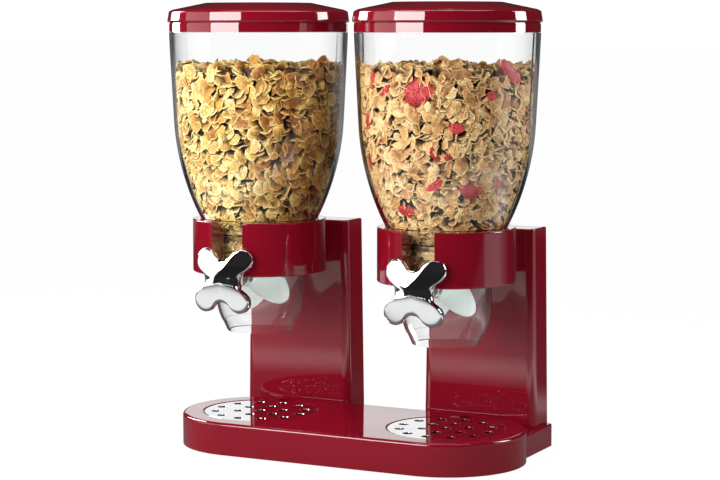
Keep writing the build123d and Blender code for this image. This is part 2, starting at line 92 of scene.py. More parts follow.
class Nodes:
    """A node tree that is filled by short calls."""

    def __init__(self, tree: bpy.types.NodeTree) -> None:
        """Keeps the tree to fill."""
        self.tree = tree

    def add(self, kind: str, inputs: dict | None = None, **settings: object) -> bpy.types.Node:
        """Adds a node.

        Args:
            kind: The node's type, without its ShaderNode prefix.
            inputs: Socket name or number to a value, or to the socket that feeds it.
            settings: Properties of the node itself.

        Returns:
            The new node.
        """
        node = self.tree.nodes.new("ShaderNode" + kind)
        for name, value in settings.items():
            setattr(node, name, value)
        for name, value in (inputs or {}).items():
            self.feed(node.inputs[name], value)
        return node

    def feed(self, socket: Socket, value: object) -> None:
        """Links a socket to another, or sets its value.

        Args:
            socket: The input to feed.
            value: Another socket, a number or a tuple.
        """
        if isinstance(value, Socket):
            self.tree.links.new(value, socket)
        elif isinstance(value, tuple) and socket.type == "RGBA":
            socket.default_value = (*value[:3], 1.0)
        else:
            socket.default_value = value

    def math(self, operation: str, *values: object, clamp: bool = False) -> Socket:
        """Adds a Math node over the values and gives its result."""
        return self.add("Math", dict(enumerate(values)), operation=operation, use_clamp=clamp).outputs[0]

    def times(self, first: object, second: object) -> Socket:
        """Multiplies two values."""
        return self.math("MULTIPLY", first, second)

    def plus(self, first: object, second: object) -> Socket:
        """Adds two values."""
        return self.math("ADD", first, second)

    def along(self, place: Socket, way: Vector) -> Socket:
        """Gives how far a point lies along a direction."""
        return self.add("VectorMath", {0: place, 1: way[:]}, operation="DOT_PRODUCT").outputs["Value"]

    def span(self, value: object, low: float, high: float, start: float, end: float) -> Socket:
        """Maps a value from one clamped range to another, with soft ends."""
        inputs = {"Value": value, "From Min": low, "From Max": high, "To Min": start, "To Max": end}
        return self.add("MapRange", inputs, interpolation_type="SMOOTHSTEP").outputs[0]

    def blend(self, share: object, first: object, second: object) -> Socket:
        """Blends two colours by a share from 0 to 1."""
        return self.add("Mix", {0: share, 6: first, 7: second}, data_type="RGBA").outputs[2]

    def ramp(self, value: object, stops: Sequence[tuple[float, Colour]]) -> Socket:
        """Adds a colour ramp with the given stops and gives its colour.

        Args:
            value: The place on the ramp, 0 to 1.
            stops: Places and colours, in order.

        Returns:
            The colour.
        """
        node = self.add("ValToRGB", {0: value})
        elements = node.color_ramp.elements
        while len(elements) < len(stops):
            elements.new(0.5)
        for element, (place, colour) in zip(elements, stops):
            element.position = place
            element.color = (*colour, 1.0)
        return node.outputs[0]

    def noise(self, vector: object, scale: object, detail: float = 2.0, rough: float = 0.5) -> Socket:
        """Adds a noise texture and gives its value."""
        inputs = {"Vector": vector, "Scale": scale, "Detail": detail, "Roughness": rough}
        return self.add("TexNoise", inputs).outputs["Fac"]

    def bump(self, height: object, distance: float, strength: float = 1.0,
             below: Socket | None = None) -> Socket:
        """Adds a bump of the given depth, over another one if given, and gives its normal.

        Args:
            height: The value that stands for height.
            distance: Its depth, in metres.
            strength: How much of it shows, 0 to 1.
            below: The other bump's normal.

        Returns:
            The normal.
        """
        inputs = {"Height": height, "Distance": distance, "Strength": strength}
        if below is not None:
            inputs["Normal"] = below
        return self.add("Bump", inputs).outputs[0]

    def place(self) -> Socket:
        """Gives the point's place on the object, in metres."""
        return self.add("TexCoord").outputs["Object"]

    def attribute(self, name: str) -> Socket:
        """Gives the value of one of the mesh's attributes."""
        return self.add("Attribute", attribute_name=name).outputs["Fac"]

    def effect(self, effect: "Effect", **inputs: object) -> Socket:
        """Places a shared effect with this material's own values and gives its output.

        Args:
            effect: The shared effect.
            inputs: Its scale and its strength.

        Returns:
            The effect's value.
        """
        node = self.tree.nodes.new("ShaderNodeGroup")
        node.node_tree = effect.group()
        for name, value in inputs.items():
            self.feed(node.inputs[name.title()], value)
        return node.outputs[0]

    def drift(self, scale: float, deep: Colour, colour: Colour) -> Socket:
        """Blends a colour with its deeper tone by slow patches."""
        return self.blend(self.effect(Effect.DRIFT, scale=scale), deep, colour)

    def worn(self, roughness: float, scale: float, strength: float) -> Socket:
        """Gives a roughness with handling smudges over it."""
        return self.plus(roughness, self.effect(Effect.SMUDGES, scale=scale, strength=strength))

    def skin(self, colour: object, roughness: object, normal: Socket, more: dict | None = None) -> Socket:
        """Adds the surface shader and gives its output."""
        inputs = {"Base Color": colour, "Roughness": roughness, "Normal": normal, **(more or {})}
        return self.add("BsdfPrincipled", inputs).outputs[0]


class Effect(Enum):
    """Surface effects that several finishes share, each one node group."""

    DRIFT = "tone_drift"
    SMUDGES = "handling_smudges"
    RIPPLE = "moulding_ripple"
    GRAIN = "fine_grain"
    SPECKS = "dust_specks"

    def group(self) -> bpy.types.NodeTree:
        """Gives the effect's node group, built on first use."""
        return bpy.data.node_groups.get(self.value) or self.build()

    def build(self) -> bpy.types.NodeTree:
        """Builds the effect's node group.

        Returns:
            A group whose only output is a value from 0 to 1.
        """
        tree = bpy.data.node_groups.new(self.value, "ShaderNodeTree")
        for name, value in (("Scale", 20.0), ("Strength", 1.0)):
            socket = tree.interface.new_socket(name=name, in_out="INPUT", socket_type="NodeSocketFloat")
            socket.default_value = value
        tree.interface.new_socket(name="Value", in_out="OUTPUT", socket_type="NodeSocketFloat")
        nodes = Nodes(tree)
        given = tree.nodes.new("NodeGroupInput").outputs
        result = nodes.times(self.pattern(nodes, nodes.place(), given["Scale"]), given["Strength"])
        tree.links.new(result, tree.nodes.new("NodeGroupOutput").inputs[0])
        return tree

    def pattern(self, nodes: Nodes, place: Socket, scale: Socket) -> Socket:
        """Adds the effect's own pattern.

        Args:
            nodes: The group's nodes.
            place: The point's place.
            scale: Cycles of the pattern per metre.

        Returns:
            The pattern's value, about 0 to 1.
        """
        if self is Effect.DRIFT:
            return nodes.noise(place, scale, 2.0, 0.4)
        if self is Effect.SMUDGES:
            patches = nodes.span(nodes.noise(place, scale, 3.0, 0.6), 0.48, 0.72, 0.0, 1.0)
            fine = nodes.noise(place, nodes.times(scale, 24.0), 2.0, 0.5)
            return nodes.times(patches, nodes.plus(fine, 0.35))
        if self is Effect.RIPPLE:
            return nodes.noise(place, scale, 1.0, 0.2)
        if self is Effect.GRAIN:
            return nodes.noise(place, scale, 4.0, 0.7)
        cells = nodes.add("TexVoronoi", {"Vector": place, "Scale": scale, "Randomness": 1.0})
        chosen = nodes.span(nodes.noise(place, scale, 0.0, 0.0), 0.62, 0.66, 0.0, 1.0)
        return nodes.times(nodes.span(cells.outputs["Distance"], 0.04, 0.12, 1.0, 0.0), chosen)


@dataclass(frozen=True)
class Finish:
    """A finish: a name and the way to build its material once."""

    name: str

    def material(self) -> bpy.types.Material:
        """Gives the finish's material, built on first use.

        Returns:
            The material.
        """
        found = bpy.data.materials.get(self.name)
        if found:
            return found
        made = bpy.data.materials.new(self.name)
        nodes = emptied(made)
        nodes.add("OutputMaterial", {"Surface": self.surface(nodes)})
        return made

    def surface(self, nodes: Nodes) -> Socket:
        """Adds the shader and gives its output."""
        raise NotImplementedError


def emptied(owner: bpy.types.Material | bpy.types.World) -> Nodes:
    """Empties the nodes of a material or a world and gives them.

    Args:
        owner: The material or the world.

    Returns:
        Its nodes, to be filled.
    """
    owner.use_nodes = True
    owner.node_tree.nodes.clear()
    return Nodes(owner.node_tree)


@dataclass(frozen=True)
class GlossPlastic(Finish):
    """Moulded plastic with a mirror-like skin, handling smudges and a faint moulding ripple."""

    colour: Colour
    deep_colour: Colour
    dust_colour: Colour = screen_colour(214, 190, 190)
    roughness: float = 0.045
    ripple_depth: float = 0.03 * MM
    grain_depth: float = 0.002 * MM

    def surface(self, nodes: Nodes) -> Socket:
        """Adds the shader and gives its output.

        Args:
            nodes: The material's nodes.

        Returns:
            The shader's output.
        """
        dust = nodes.effect(Effect.SPECKS, scale=260.0, strength=0.25)
        colour = nodes.blend(dust, nodes.drift(9.0, self.deep_colour, self.colour), self.dust_colour)
        waves = nodes.bump(nodes.effect(Effect.RIPPLE, scale=26.0), self.ripple_depth)
        normal = nodes.bump(nodes.effect(Effect.GRAIN, scale=1800.0), self.grain_depth, 0.5, waves)
        return nodes.skin(colour, nodes.worn(self.roughness, 14.0, 0.06), normal,
                          {"IOR": 1.52, "Coat Weight": 0.8, "Coat Roughness": 0.03, "Coat IOR": 1.55})


@dataclass(frozen=True)
class SatinPlastic(Finish):
    """Moulded plastic with an even texture from the tool."""

    colour: Colour
    deep_colour: Colour
    roughness: float = 0.45
    grain_scale: float = 1500.0
    grain_depth: float = 0.03 * MM

    def surface(self, nodes: Nodes) -> Socket:
        """Adds the shader and gives its output.

        Args:
            nodes: The material's nodes.

        Returns:
            The shader's output.
        """
        normal = nodes.bump(nodes.effect(Effect.GRAIN, scale=self.grain_scale), self.grain_depth)
        return nodes.skin(nodes.drift(16.0, self.deep_colour, self.colour),
                          nodes.worn(self.roughness, 18.0, 0.14), normal, {"IOR": 1.5})


@dataclass(frozen=True)
class ClearPlastic(Finish):
    """Polished clear plastic that lamps shine through, with painted shade where it is seen edge-on."""

    mirror: float = 0.2
    clearness: float = 1.0
    tint: Colour = (0.997, 1.0, 1.0)
    painted_edge_shade: Colour = (0.06, 0.06, 0.07)
    edge: Range = (0.80, 0.93)
    roughness: float = 0.015
    ripple_depth: float = 0.012 * MM

    def surface(self, nodes: Nodes) -> Socket:
        """Adds the shader and gives its output.

        Args:
            nodes: The material's nodes.

        Returns:
            The shader's output.
        """
        facing = nodes.add("LayerWeight", {"Blend": 0.5}).outputs["Facing"]
        # Painted shade: the plastic is tinted dark where it is seen edge-on.
        colour = nodes.blend(nodes.span(facing, *self.edge, 0.0, 1.0), self.tint, self.painted_edge_shade)
        normal = nodes.bump(nodes.effect(Effect.RIPPLE, scale=30.0), self.ripple_depth)
        more = {"IOR": 1.49, "Transmission Weight": self.clearness, "Specular IOR Level": self.mirror}
        glass = nodes.skin(colour, nodes.worn(self.roughness, 11.0, 0.05), normal, more)
        lamps = nodes.add("BsdfTransparent", {"Color": self.tint}).outputs[0]
        shadow = nodes.add("LightPath").outputs["Is Shadow Ray"]
        return nodes.add("MixShader", {0: shadow, 1: glass, 2: lamps}).outputs[0]


@dataclass(frozen=True)
class FrostedSilicone(Finish):
    """Soft translucent silicone with a fine frosted skin, and a painted glow that stands in for the light
    reaching it.
    """

    colour: Colour
    roughness: float
    transmission: float
    painted_glow: float = 0.0
    scatter: float = 4.0 * MM
    grain_depth: float = 0.02 * MM

    def surface(self, nodes: Nodes) -> Socket:
        """Adds the shader and gives its output.

        Args:
            nodes: The material's nodes.

        Returns:
            The shader's output.
        """
        colour = nodes.drift(60.0, tuple(0.9 * value for value in self.colour), self.colour)
        normal = nodes.bump(nodes.effect(Effect.GRAIN, scale=2600.0), self.grain_depth)
        return nodes.skin(colour, nodes.worn(self.roughness, 40.0, 0.15), normal, {
            "IOR": 1.41, "Transmission Weight": self.transmission, "Subsurface Weight": 0.8,
            "Subsurface Radius": (self.scatter,) * 3, "Subsurface Scale": 1.0,
            # Painted light: the emission makes the silicone glow, though it is no lamp.
            "Emission Color": colour, "Emission Strength": self.painted_glow})


@dataclass(frozen=True)
class Metal(Finish):
    """Plated or polished metal with smudges, fine polishing marks and faint unevenness."""

    colour: Colour
    roughness: float
    smudge: float
    grain_depth: float = 0.002 * MM
    ripple_depth: float = 0.02 * MM

    def surface(self, nodes: Nodes) -> Socket:
        """Adds the shader and gives its output.

        Args:
            nodes: The material's nodes.

        Returns:
            The shader's output.
        """
        waves = nodes.bump(nodes.effect(Effect.RIPPLE, scale=60.0), self.ripple_depth)
        normal = nodes.bump(nodes.effect(Effect.GRAIN, scale=3200.0), self.grain_depth, 1.0, waves)
        colour = nodes.drift(45.0, tuple(0.93 * value for value in self.colour), self.colour)
        return nodes.skin(colour, nodes.worn(self.roughness, 28.0, self.smudge), normal, {"Metallic": 1.0})


@dataclass(frozen=True)
class FlakeCrust(Finish):
    """Toasted flake: its own tone for each flake, painted shade deep in the heap, a painted highlight towards
    the rim and painted shade towards the heap's right side, with blisters and crumbs.
    """

    light: Colour
    middle: Colour
    toasted: Colour
    # How much painted shade darkens each heap towards its right side.
    drift: float
    blister: float = 420.0
    depth: float = 0.45 * MM
    shadow: Colour = (0.035, 0.012, 0.012)
    own_share: float = 0.46
    patch_share: float = 0.60
    rim_highlight_share: float = 0.28
    side_shade_reach: Range = (-0.02, 0.08)
    tones: tuple[float, float, float] = (0.26, 0.54, 0.90)

    def surface(self, nodes: Nodes) -> Socket:
        """Adds the shader and gives its output.

        Args:
            nodes: The material's nodes.

        Returns:
            The shader's output.
        """
        place = nodes.place()
        own = nodes.add("NewGeometry").outputs["Random Per Island"]
        patches = nodes.noise(place, self.blister * 0.55, 4.0, 0.62)
        toast = nodes.plus(nodes.times(own, self.own_share), nodes.times(patches, self.patch_share))
        # Painted highlight: each flake is made paler towards its rim.
        rim = nodes.math("POWER", nodes.attribute(RIM_ATTRIBUTE), 6.0)
        toast = nodes.math("SUBTRACT", toast, nodes.times(rim, self.rim_highlight_share))
        # Painted shade: the flakes grow more toasted and darker towards the right side of each canister.
        across = nodes.math("WRAP", nodes.add("SeparateXYZ", {0: place}).outputs["X"], 2 * AXIS_X, 0.0)
        low, high = (AXIS_X + reach for reach in self.side_shade_reach)
        toast = nodes.plus(toast, nodes.span(across, low, high, 0.0, self.drift))
        colour = nodes.ramp(toast, tuple(zip(self.tones, (self.light, self.middle, self.toasted))))
        # Painted shade: the colour goes towards the shadow colour the deeper the point lies in the heap.
        painted_depth_shade = nodes.span(nodes.attribute(DEPTH_ATTRIBUTE), 0.0, 0.85, 0.0, 0.96)
        colour = nodes.blend(painted_depth_shade, colour, self.shadow)
        crumbs = nodes.span(nodes.noise(place, self.blister * 2.2, 3.0, 0.65), 0.50, 0.66, 0.0, 0.7)
        blisters = nodes.noise(place, self.blister, 3.0, 0.6)
        fine = nodes.noise(place, self.blister * 4.0, 3.0, 0.6)
        normal = nodes.bump(fine, self.depth * 0.3, 1.0, nodes.bump(blisters, self.depth))
        colour = nodes.blend(crumbs, colour, self.toasted)
        return nodes.skin(colour, nodes.span(blisters, 0.3, 0.7, 0.42, 0.7), normal)


@dataclass(frozen=True)
class FruitSkin(Finish):
    """Dried strawberry slice: deep red, paler inside, with sunk seeds, painted shade around the seeds and
    painted shade deep in the heap.
    """

    skin: Colour
    flesh: Colour
    seed: Colour
    shadow: Colour = (0.05, 0.002, 0.008)
    seed_scale: float = 430.0
    pit_depth: float = 0.6 * MM
    grain_depth: float = 0.2 * MM

    def surface(self, nodes: Nodes) -> Socket:
        """Adds the shader and gives its output.

        Args:
            nodes: The material's nodes.

        Returns:
            The shader's output.
        """
        place = nodes.place()
        own = nodes.add("NewGeometry").outputs["Random Per Island"]
        patches = nodes.plus(nodes.noise(place, 120.0, 4.0, 0.6), nodes.times(own, 0.3))
        colour = nodes.blend(nodes.span(patches, 0.45, 0.95, 0.0, 1.0), self.skin, self.flesh)
        cells = nodes.add("TexVoronoi", {"Vector": place, "Scale": self.seed_scale}).outputs["Distance"]
        # Painted shade: the colour darkens towards the shadow colour around each seed pit.
        colour = nodes.blend(nodes.span(cells, 0.15, 0.5, 0.45, 0.0), colour, self.shadow)
        seeds = nodes.times(nodes.span(cells, 0.08, 0.18, 1.0, 0.0), 0.6)
        colour = nodes.blend(seeds, colour, self.seed)
        # Painted shade deeper in the heap.
        painted_depth_shade = nodes.span(nodes.attribute(DEPTH_ATTRIBUTE), 0.15, 1.0, 0.0, 0.9)
        pits = nodes.bump(nodes.span(cells, 0.12, 0.45, 0.0, 1.0), self.pit_depth)
        normal = nodes.bump(nodes.noise(place, 900.0, 3.0, 0.6), self.grain_depth, 1.0, pits)
        return nodes.skin(nodes.blend(painted_depth_shade, colour, self.shadow), 0.5, normal)


RED_GLOSS = GlossPlastic("red_gloss_moulding", screen_colour(140, 13, 34), screen_colour(130, 10, 30))
RED_SATIN = SatinPlastic("red_satin_moulding", screen_colour(128, 22, 36), screen_colour(112, 18, 30))
CLEAR = ClearPlastic("clear_moulding")
CLEAR_CHAMBER = ClearPlastic("clear_chamber_moulding", mirror=0.6, clearness=0.985)
WHITE_SATIN = SatinPlastic("white_satin_moulding", screen_colour(236, 235, 230), screen_colour(222, 221, 214))
FROSTED = FrostedSilicone("soft_vane_silicone", screen_colour(240, 248, 244), 0.4, 0.25, painted_glow=0.23)
SEAL = FrostedSilicone("soft_seal_silicone", screen_colour(238, 238, 232), 0.5, 0.05)
RUBBER = SatinPlastic("matt_foot_rubber", screen_colour(48, 47, 46), screen_colour(36, 36, 36), 0.75, 900.0)
KNOB_CHROME = Metal("plated_knob_chrome", screen_colour(246, 246, 249), 0.025, 0.05)
GRATE_CHROME = Metal("polished_grate_chrome", screen_colour(236, 237, 239), 0.03, 0.05)
SCREW_STEEL = Metal("screw_zinc", screen_colour(196, 198, 202), 0.3, 0.15, 0.01 * MM)

NODE_FINISHES: dict[str, Finish] = {node: finish for finish, nodes in (
    (RED_GLOSS, ("base_shell", "tower", "collar", "lid")),
    (RED_SATIN, ("base_bottom_cover", "tower_back_cover")),
    (CLEAR, ("canister",)),
    (CLEAR_CHAMBER, ("wheel_chamber",)),
    (WHITE_SATIN, ("front_bush", "rear_bush", "paddle_core")),
    (FROSTED, ("paddle_vanes",)),
    (SEAL, ("lid_seal",)),
    (RUBBER, ("rubber_feet",)),
    (KNOB_CHROME, ("knob",)),
    (GRATE_CHROME, ("crumb_grate",)),
    (SCREW_STEEL, ("base_screws", "tower_screws", "collar_screws", "back_cover_screws", "knob_shaft")),
) for node in nodes}


@dataclass(frozen=True)
class Corner:
    """A corner of a turned outline, with the reach of its rounding along both its sides."""

    radius: float
    height: float
    rounding: float = 0.0
    steps: int = 3


def outline_wire(corners: Sequence[Corner]) -> BMesh:
    """Draws an open outline in the XZ plane and rounds its corners.

    Args:
        corners: The outline's corners in order, as radii and heights.

    Returns:
        The outline's wire.
    """
    shape = bmesh.new()
    points = [shape.verts.new((corner.radius, 0.0, corner.height)) for corner in corners]
    for first, second in zip(points, points[1:]):
        shape.edges.new((first, second))
    for point, corner in zip(points, corners):
        if corner.rounding:
            bmesh.ops.bevel(shape, geom=[point], offset=corner.rounding, offset_type="OFFSET",
                            segments=corner.steps, profile=0.5, affect="VERTICES", material=-1)
    bmesh.ops.remove_doubles(shape, verts=shape.verts[:], dist=0.02 * MM)
    return shape


def turned(corners: Sequence[Corner], centre: Vector, steps: int) -> BMesh:
    """Turns an outline about an upright axis.

    Args:
        corners: The outline, as radii and heights.
        centre: The axis' place; its height is left out.
        steps: Segments around.

    Returns:
        The turned shape, faces outwards.
    """
    shape = outline_wire(corners)
    bmesh.ops.spin(shape, geom=shape.verts[:] + shape.edges[:], cent=(0, 0, 0), axis=(0, 0, 1),
                   angle=math.tau, steps=steps, use_merge=True)
    bmesh.ops.remove_doubles(shape, verts=shape.verts[:], dist=0.01 * MM)
    bmesh.ops.recalc_face_normals(shape, faces=shape.faces[:])
    bmesh.ops.translate(shape, verts=shape.verts[:], vec=(centre.x, centre.y, 0))
    return shape


def to_mesh(name: str, shape: BMesh) -> Mesh:
    """Makes a mesh of a modelled shape, which is freed.

    Args:
        name: The mesh's name.
        shape: The shape.

    Returns:
        The mesh.
    """
    mesh = bpy.data.meshes.new(name)
    shape.to_mesh(mesh)
    shape.free()
    return mesh


def to_piece(name: str, mesh: Mesh, material: bpy.types.Material) -> Piece:
    """Puts a mesh with its material in the scene.

    Args:
        name: The piece's name.
        mesh: Its mesh.
        material: Its material.

    Returns:
        The piece.
    """
    mesh.materials.append(material)
    piece = bpy.data.objects.new(name, mesh)
    bpy.context.scene.collection.objects.link(piece)
    return piece


def finished(name: str, shape: BMesh, finish: Finish, body: str, sharp: float = 40.0) -> Piece:
    """Makes a piece of a modelled shape and lets it ride on its body.

    Args:
        name: The piece's name.
        shape: The shape, which is freed.
        finish: Its finish.
        body: The body that it rides on.
        sharp: Edges sharper than this angle, in degrees, stay crisp.

    Returns:
        The piece.
    """
    mesh = to_mesh(name, shape)
    mesh.shade_smooth()
    mesh.set_sharp_from_angle(angle=math.radians(sharp))
    piece = to_piece(name, mesh, finish.material())
    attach(piece, body)
    log.info("%s: %d faces", name, len(mesh.polygons))
    return piece


def level_way(angle: float) -> Vector:
    """Gives the level direction at an angle from +X towards +Y."""
    return Vector((math.cos(angle), math.sin(angle), 0))


def aimed(place: Vector, way: Vector) -> Matrix:
    """Gives the matrix that moves a flat thing to a place and turns its face."""
    return Matrix.Translation(place) @ way.to_track_quat("Z", "Y").to_matrix().to_4x4()


@dataclass
class Canister:
    """Inside of a clear canister: a leaning wall, then a bulge down to a cone."""

    side: str
    wall: float = 3.0 * MM
    top_radius: float = 79.4 * MM
    rim_step: float = 1.7 * MM
    rim_wall: float = 1.9 * MM
    bowl_radius: float = 75.5 * MM
    bowl_height: float = 292.0 * MM
    cone_top_radius: float = 52.4 * MM
    cone_top_height: float = 204.5 * MM
    mouth_radius: float = 24.0 * MM
    mouth_wall: float = 2.4 * MM
    ring_bottom: float = 185.9 * MM

    def __post_init__(self) -> None:
        """Reads the place and the height from the frame."""
        low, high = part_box(f"canister_{self.side}")
        self.centre = Vector(((low.x + high.x) / 2, (low.y + high.y) / 2, 0))
        self.mouth_height, self.rim_top = low.z, high.z

    def bulge(self, top: Corner, bowl: Corner, cone_top: Corner) -> Corner:
        """Gives the corner whose rounding is the arc from the end of the wall to the top of the cone.

        Args:
            top: The wall's upper end.
            bowl: The wall's lower end.
            cone_top: The top of the cone.

        Returns:
            The corner between the last two.
        """
        start = Vector((bowl.radius, bowl.height))
        along = (start - Vector((top.radius, top.height))).normalized()
        chord = Vector((cone_top.radius, cone_top.height)) - start
        reach = chord.length / 2 / math.cos(along.angle(chord))
        return Corner(*(start + along * reach), rounding=reach, steps=28)

    def inside(self) -> list[Corner]:
        """Gives the inner outline from the rim down to the mouth.

        Returns:
            The outline's corners.
        """
        lean = math.atan2(self.cone_top_radius - self.mouth_radius, self.cone_top_height - self.mouth_height)
        top = Corner(self.top_radius - self.rim_step - self.rim_wall, self.rim_top)
        bowl = Corner(self.bowl_radius - self.wall, self.bowl_height)
        cone_top = Corner(self.cone_top_radius - self.wall * math.cos(lean / 2),
                          self.cone_top_height + self.wall * math.sin(lean / 2))
        mouth = Corner(self.mouth_radius - self.mouth_wall, self.mouth_height)
        return [top, self.bulge(top, bowl, cone_top), cone_top, mouth]

    def inner_line(self) -> tuple[Points, Points]:
        """Gives heights and inner radii down the wall, as the rounded outline has them.

        Returns:
            Heights from the bottom up, and the radius at each.
        """
        shape = outline_wire(self.inside())
        points = sorted((vert.co.z, vert.co.x) for vert in shape.verts)
        shape.free()
        return np.array([height for height, _ in points]), np.array([radius for _, radius in points])


class CerealKind(Enum):
    """What a canister holds."""

    CORN = "corn_flakes"
    BRAN = "bran_flakes"


@dataclass(frozen=True)
class FlakeShape:
    """Sizes of one kind of flake, in metres, with its unevenness and how its heap packs."""

    radius: float
    stretch: float
    thickness: float
    curl: float
    crinkle: float
    crinkle_scale: float
    ragged: float
    spacing: float
    row_height: float
    rim_points: int = 12
    inner_ring: float = 0.42


FLAKES = {
    CerealKind.CORN: FlakeShape(6.3 * MM, 0.20, 0.60 * MM, 0.22, 1.5 * MM, 1.8, 0.32, 7.1 * MM, 5.0 * MM),
    CerealKind.BRAN: FlakeShape(6.1 * MM, 0.28, 0.55 * MM, 0.30, 2.7 * MM, 2.5, 0.42, 6.6 * MM, 4.7 * MM),
}
CRUSTS = {
    CerealKind.CORN: FlakeCrust("corn_flake_crust", screen_colour(255, 242, 168),
                                screen_colour(236, 186, 92), screen_colour(150, 84, 34), drift=0.30),
    CerealKind.BRAN: FlakeCrust("bran_flake_crust", screen_colour(255, 226, 164),
                                screen_colour(230, 174, 106), screen_colour(128, 74, 36), drift=0.04,
                                blister=520.0, depth=0.6 * MM),
}
FRUIT = FruitSkin("strawberry_skin", screen_colour(176, 8, 24), screen_colour(214, 64, 66),
                  screen_colour(222, 176, 96))


@dataclass(frozen=True)
class FruitPlace:
    """Where a strawberry slice lies against the wall: its turn from the front, height, length and roll."""

    turn: float
    height: float
    length: float
    roll: float
    breadth: float = 0.8


FRUIT_PLACES = tuple(FruitPlace(*sizes) for sizes in (
    (5, 322, 28, 12, 0.9), (-40, 296, 18, 70, 0.6), (29, 292, 20, -14, 0.5), (16, 271, 15, -60, 0.5),
    (26, 269, 11, 40, 0.6), (44, 243, 26, 62, 0.8), (15, 245, 17, 24, 0.62), (-12, 222, 17, -22, 0.62),
    (70, 337, 26, -55, 0.6), (55, 318, 18, 0, 0.45), (-32, 329, 17, 75, 0.5), (-20, 322, 15, 35, 0.5),
    (66, 246, 18, 24, 0.4), (-44, 262, 15, 80, 0.5), (130, 300, 22, 30, 0.7), (168, 326, 20, -20, 0.7),
    (205, 285, 24, 60, 0.8), (246, 312, 18, 10, 0.6), (150, 258, 20, -40, 0.6), (228, 250, 18, 35, 0.7),
    (272, 280, 20, -70, 0.7),
))


def lay_mesh(shape: BMesh, mesh: Mesh, matrix: Matrix, settle: Rule, depth: Rule) -> None:
    """Adds a copy of a mesh to a heap, settled among its neighbours.

    Args:
        shape: The heap's mesh.
        mesh: The flake or slice.
        matrix: Its place and turn.
        settle: Moves its points to where they may be.
        depth: Gives how deep each point lies in the heap, from 0 to 1.
    """
    copy = mesh.copy()
    copy.transform(matrix)
    points = np.empty(len(copy.vertices) * 3)
    copy.vertices.foreach_get("co", points)
    points = settle(points.reshape(-1, 3))
    copy.vertices.foreach_set("co", points.ravel())
    copy.attributes[DEPTH_ATTRIBUTE].data.foreach_set("value", depth(points))
    shape.from_mesh(copy)
    bpy.data.meshes.remove(copy)


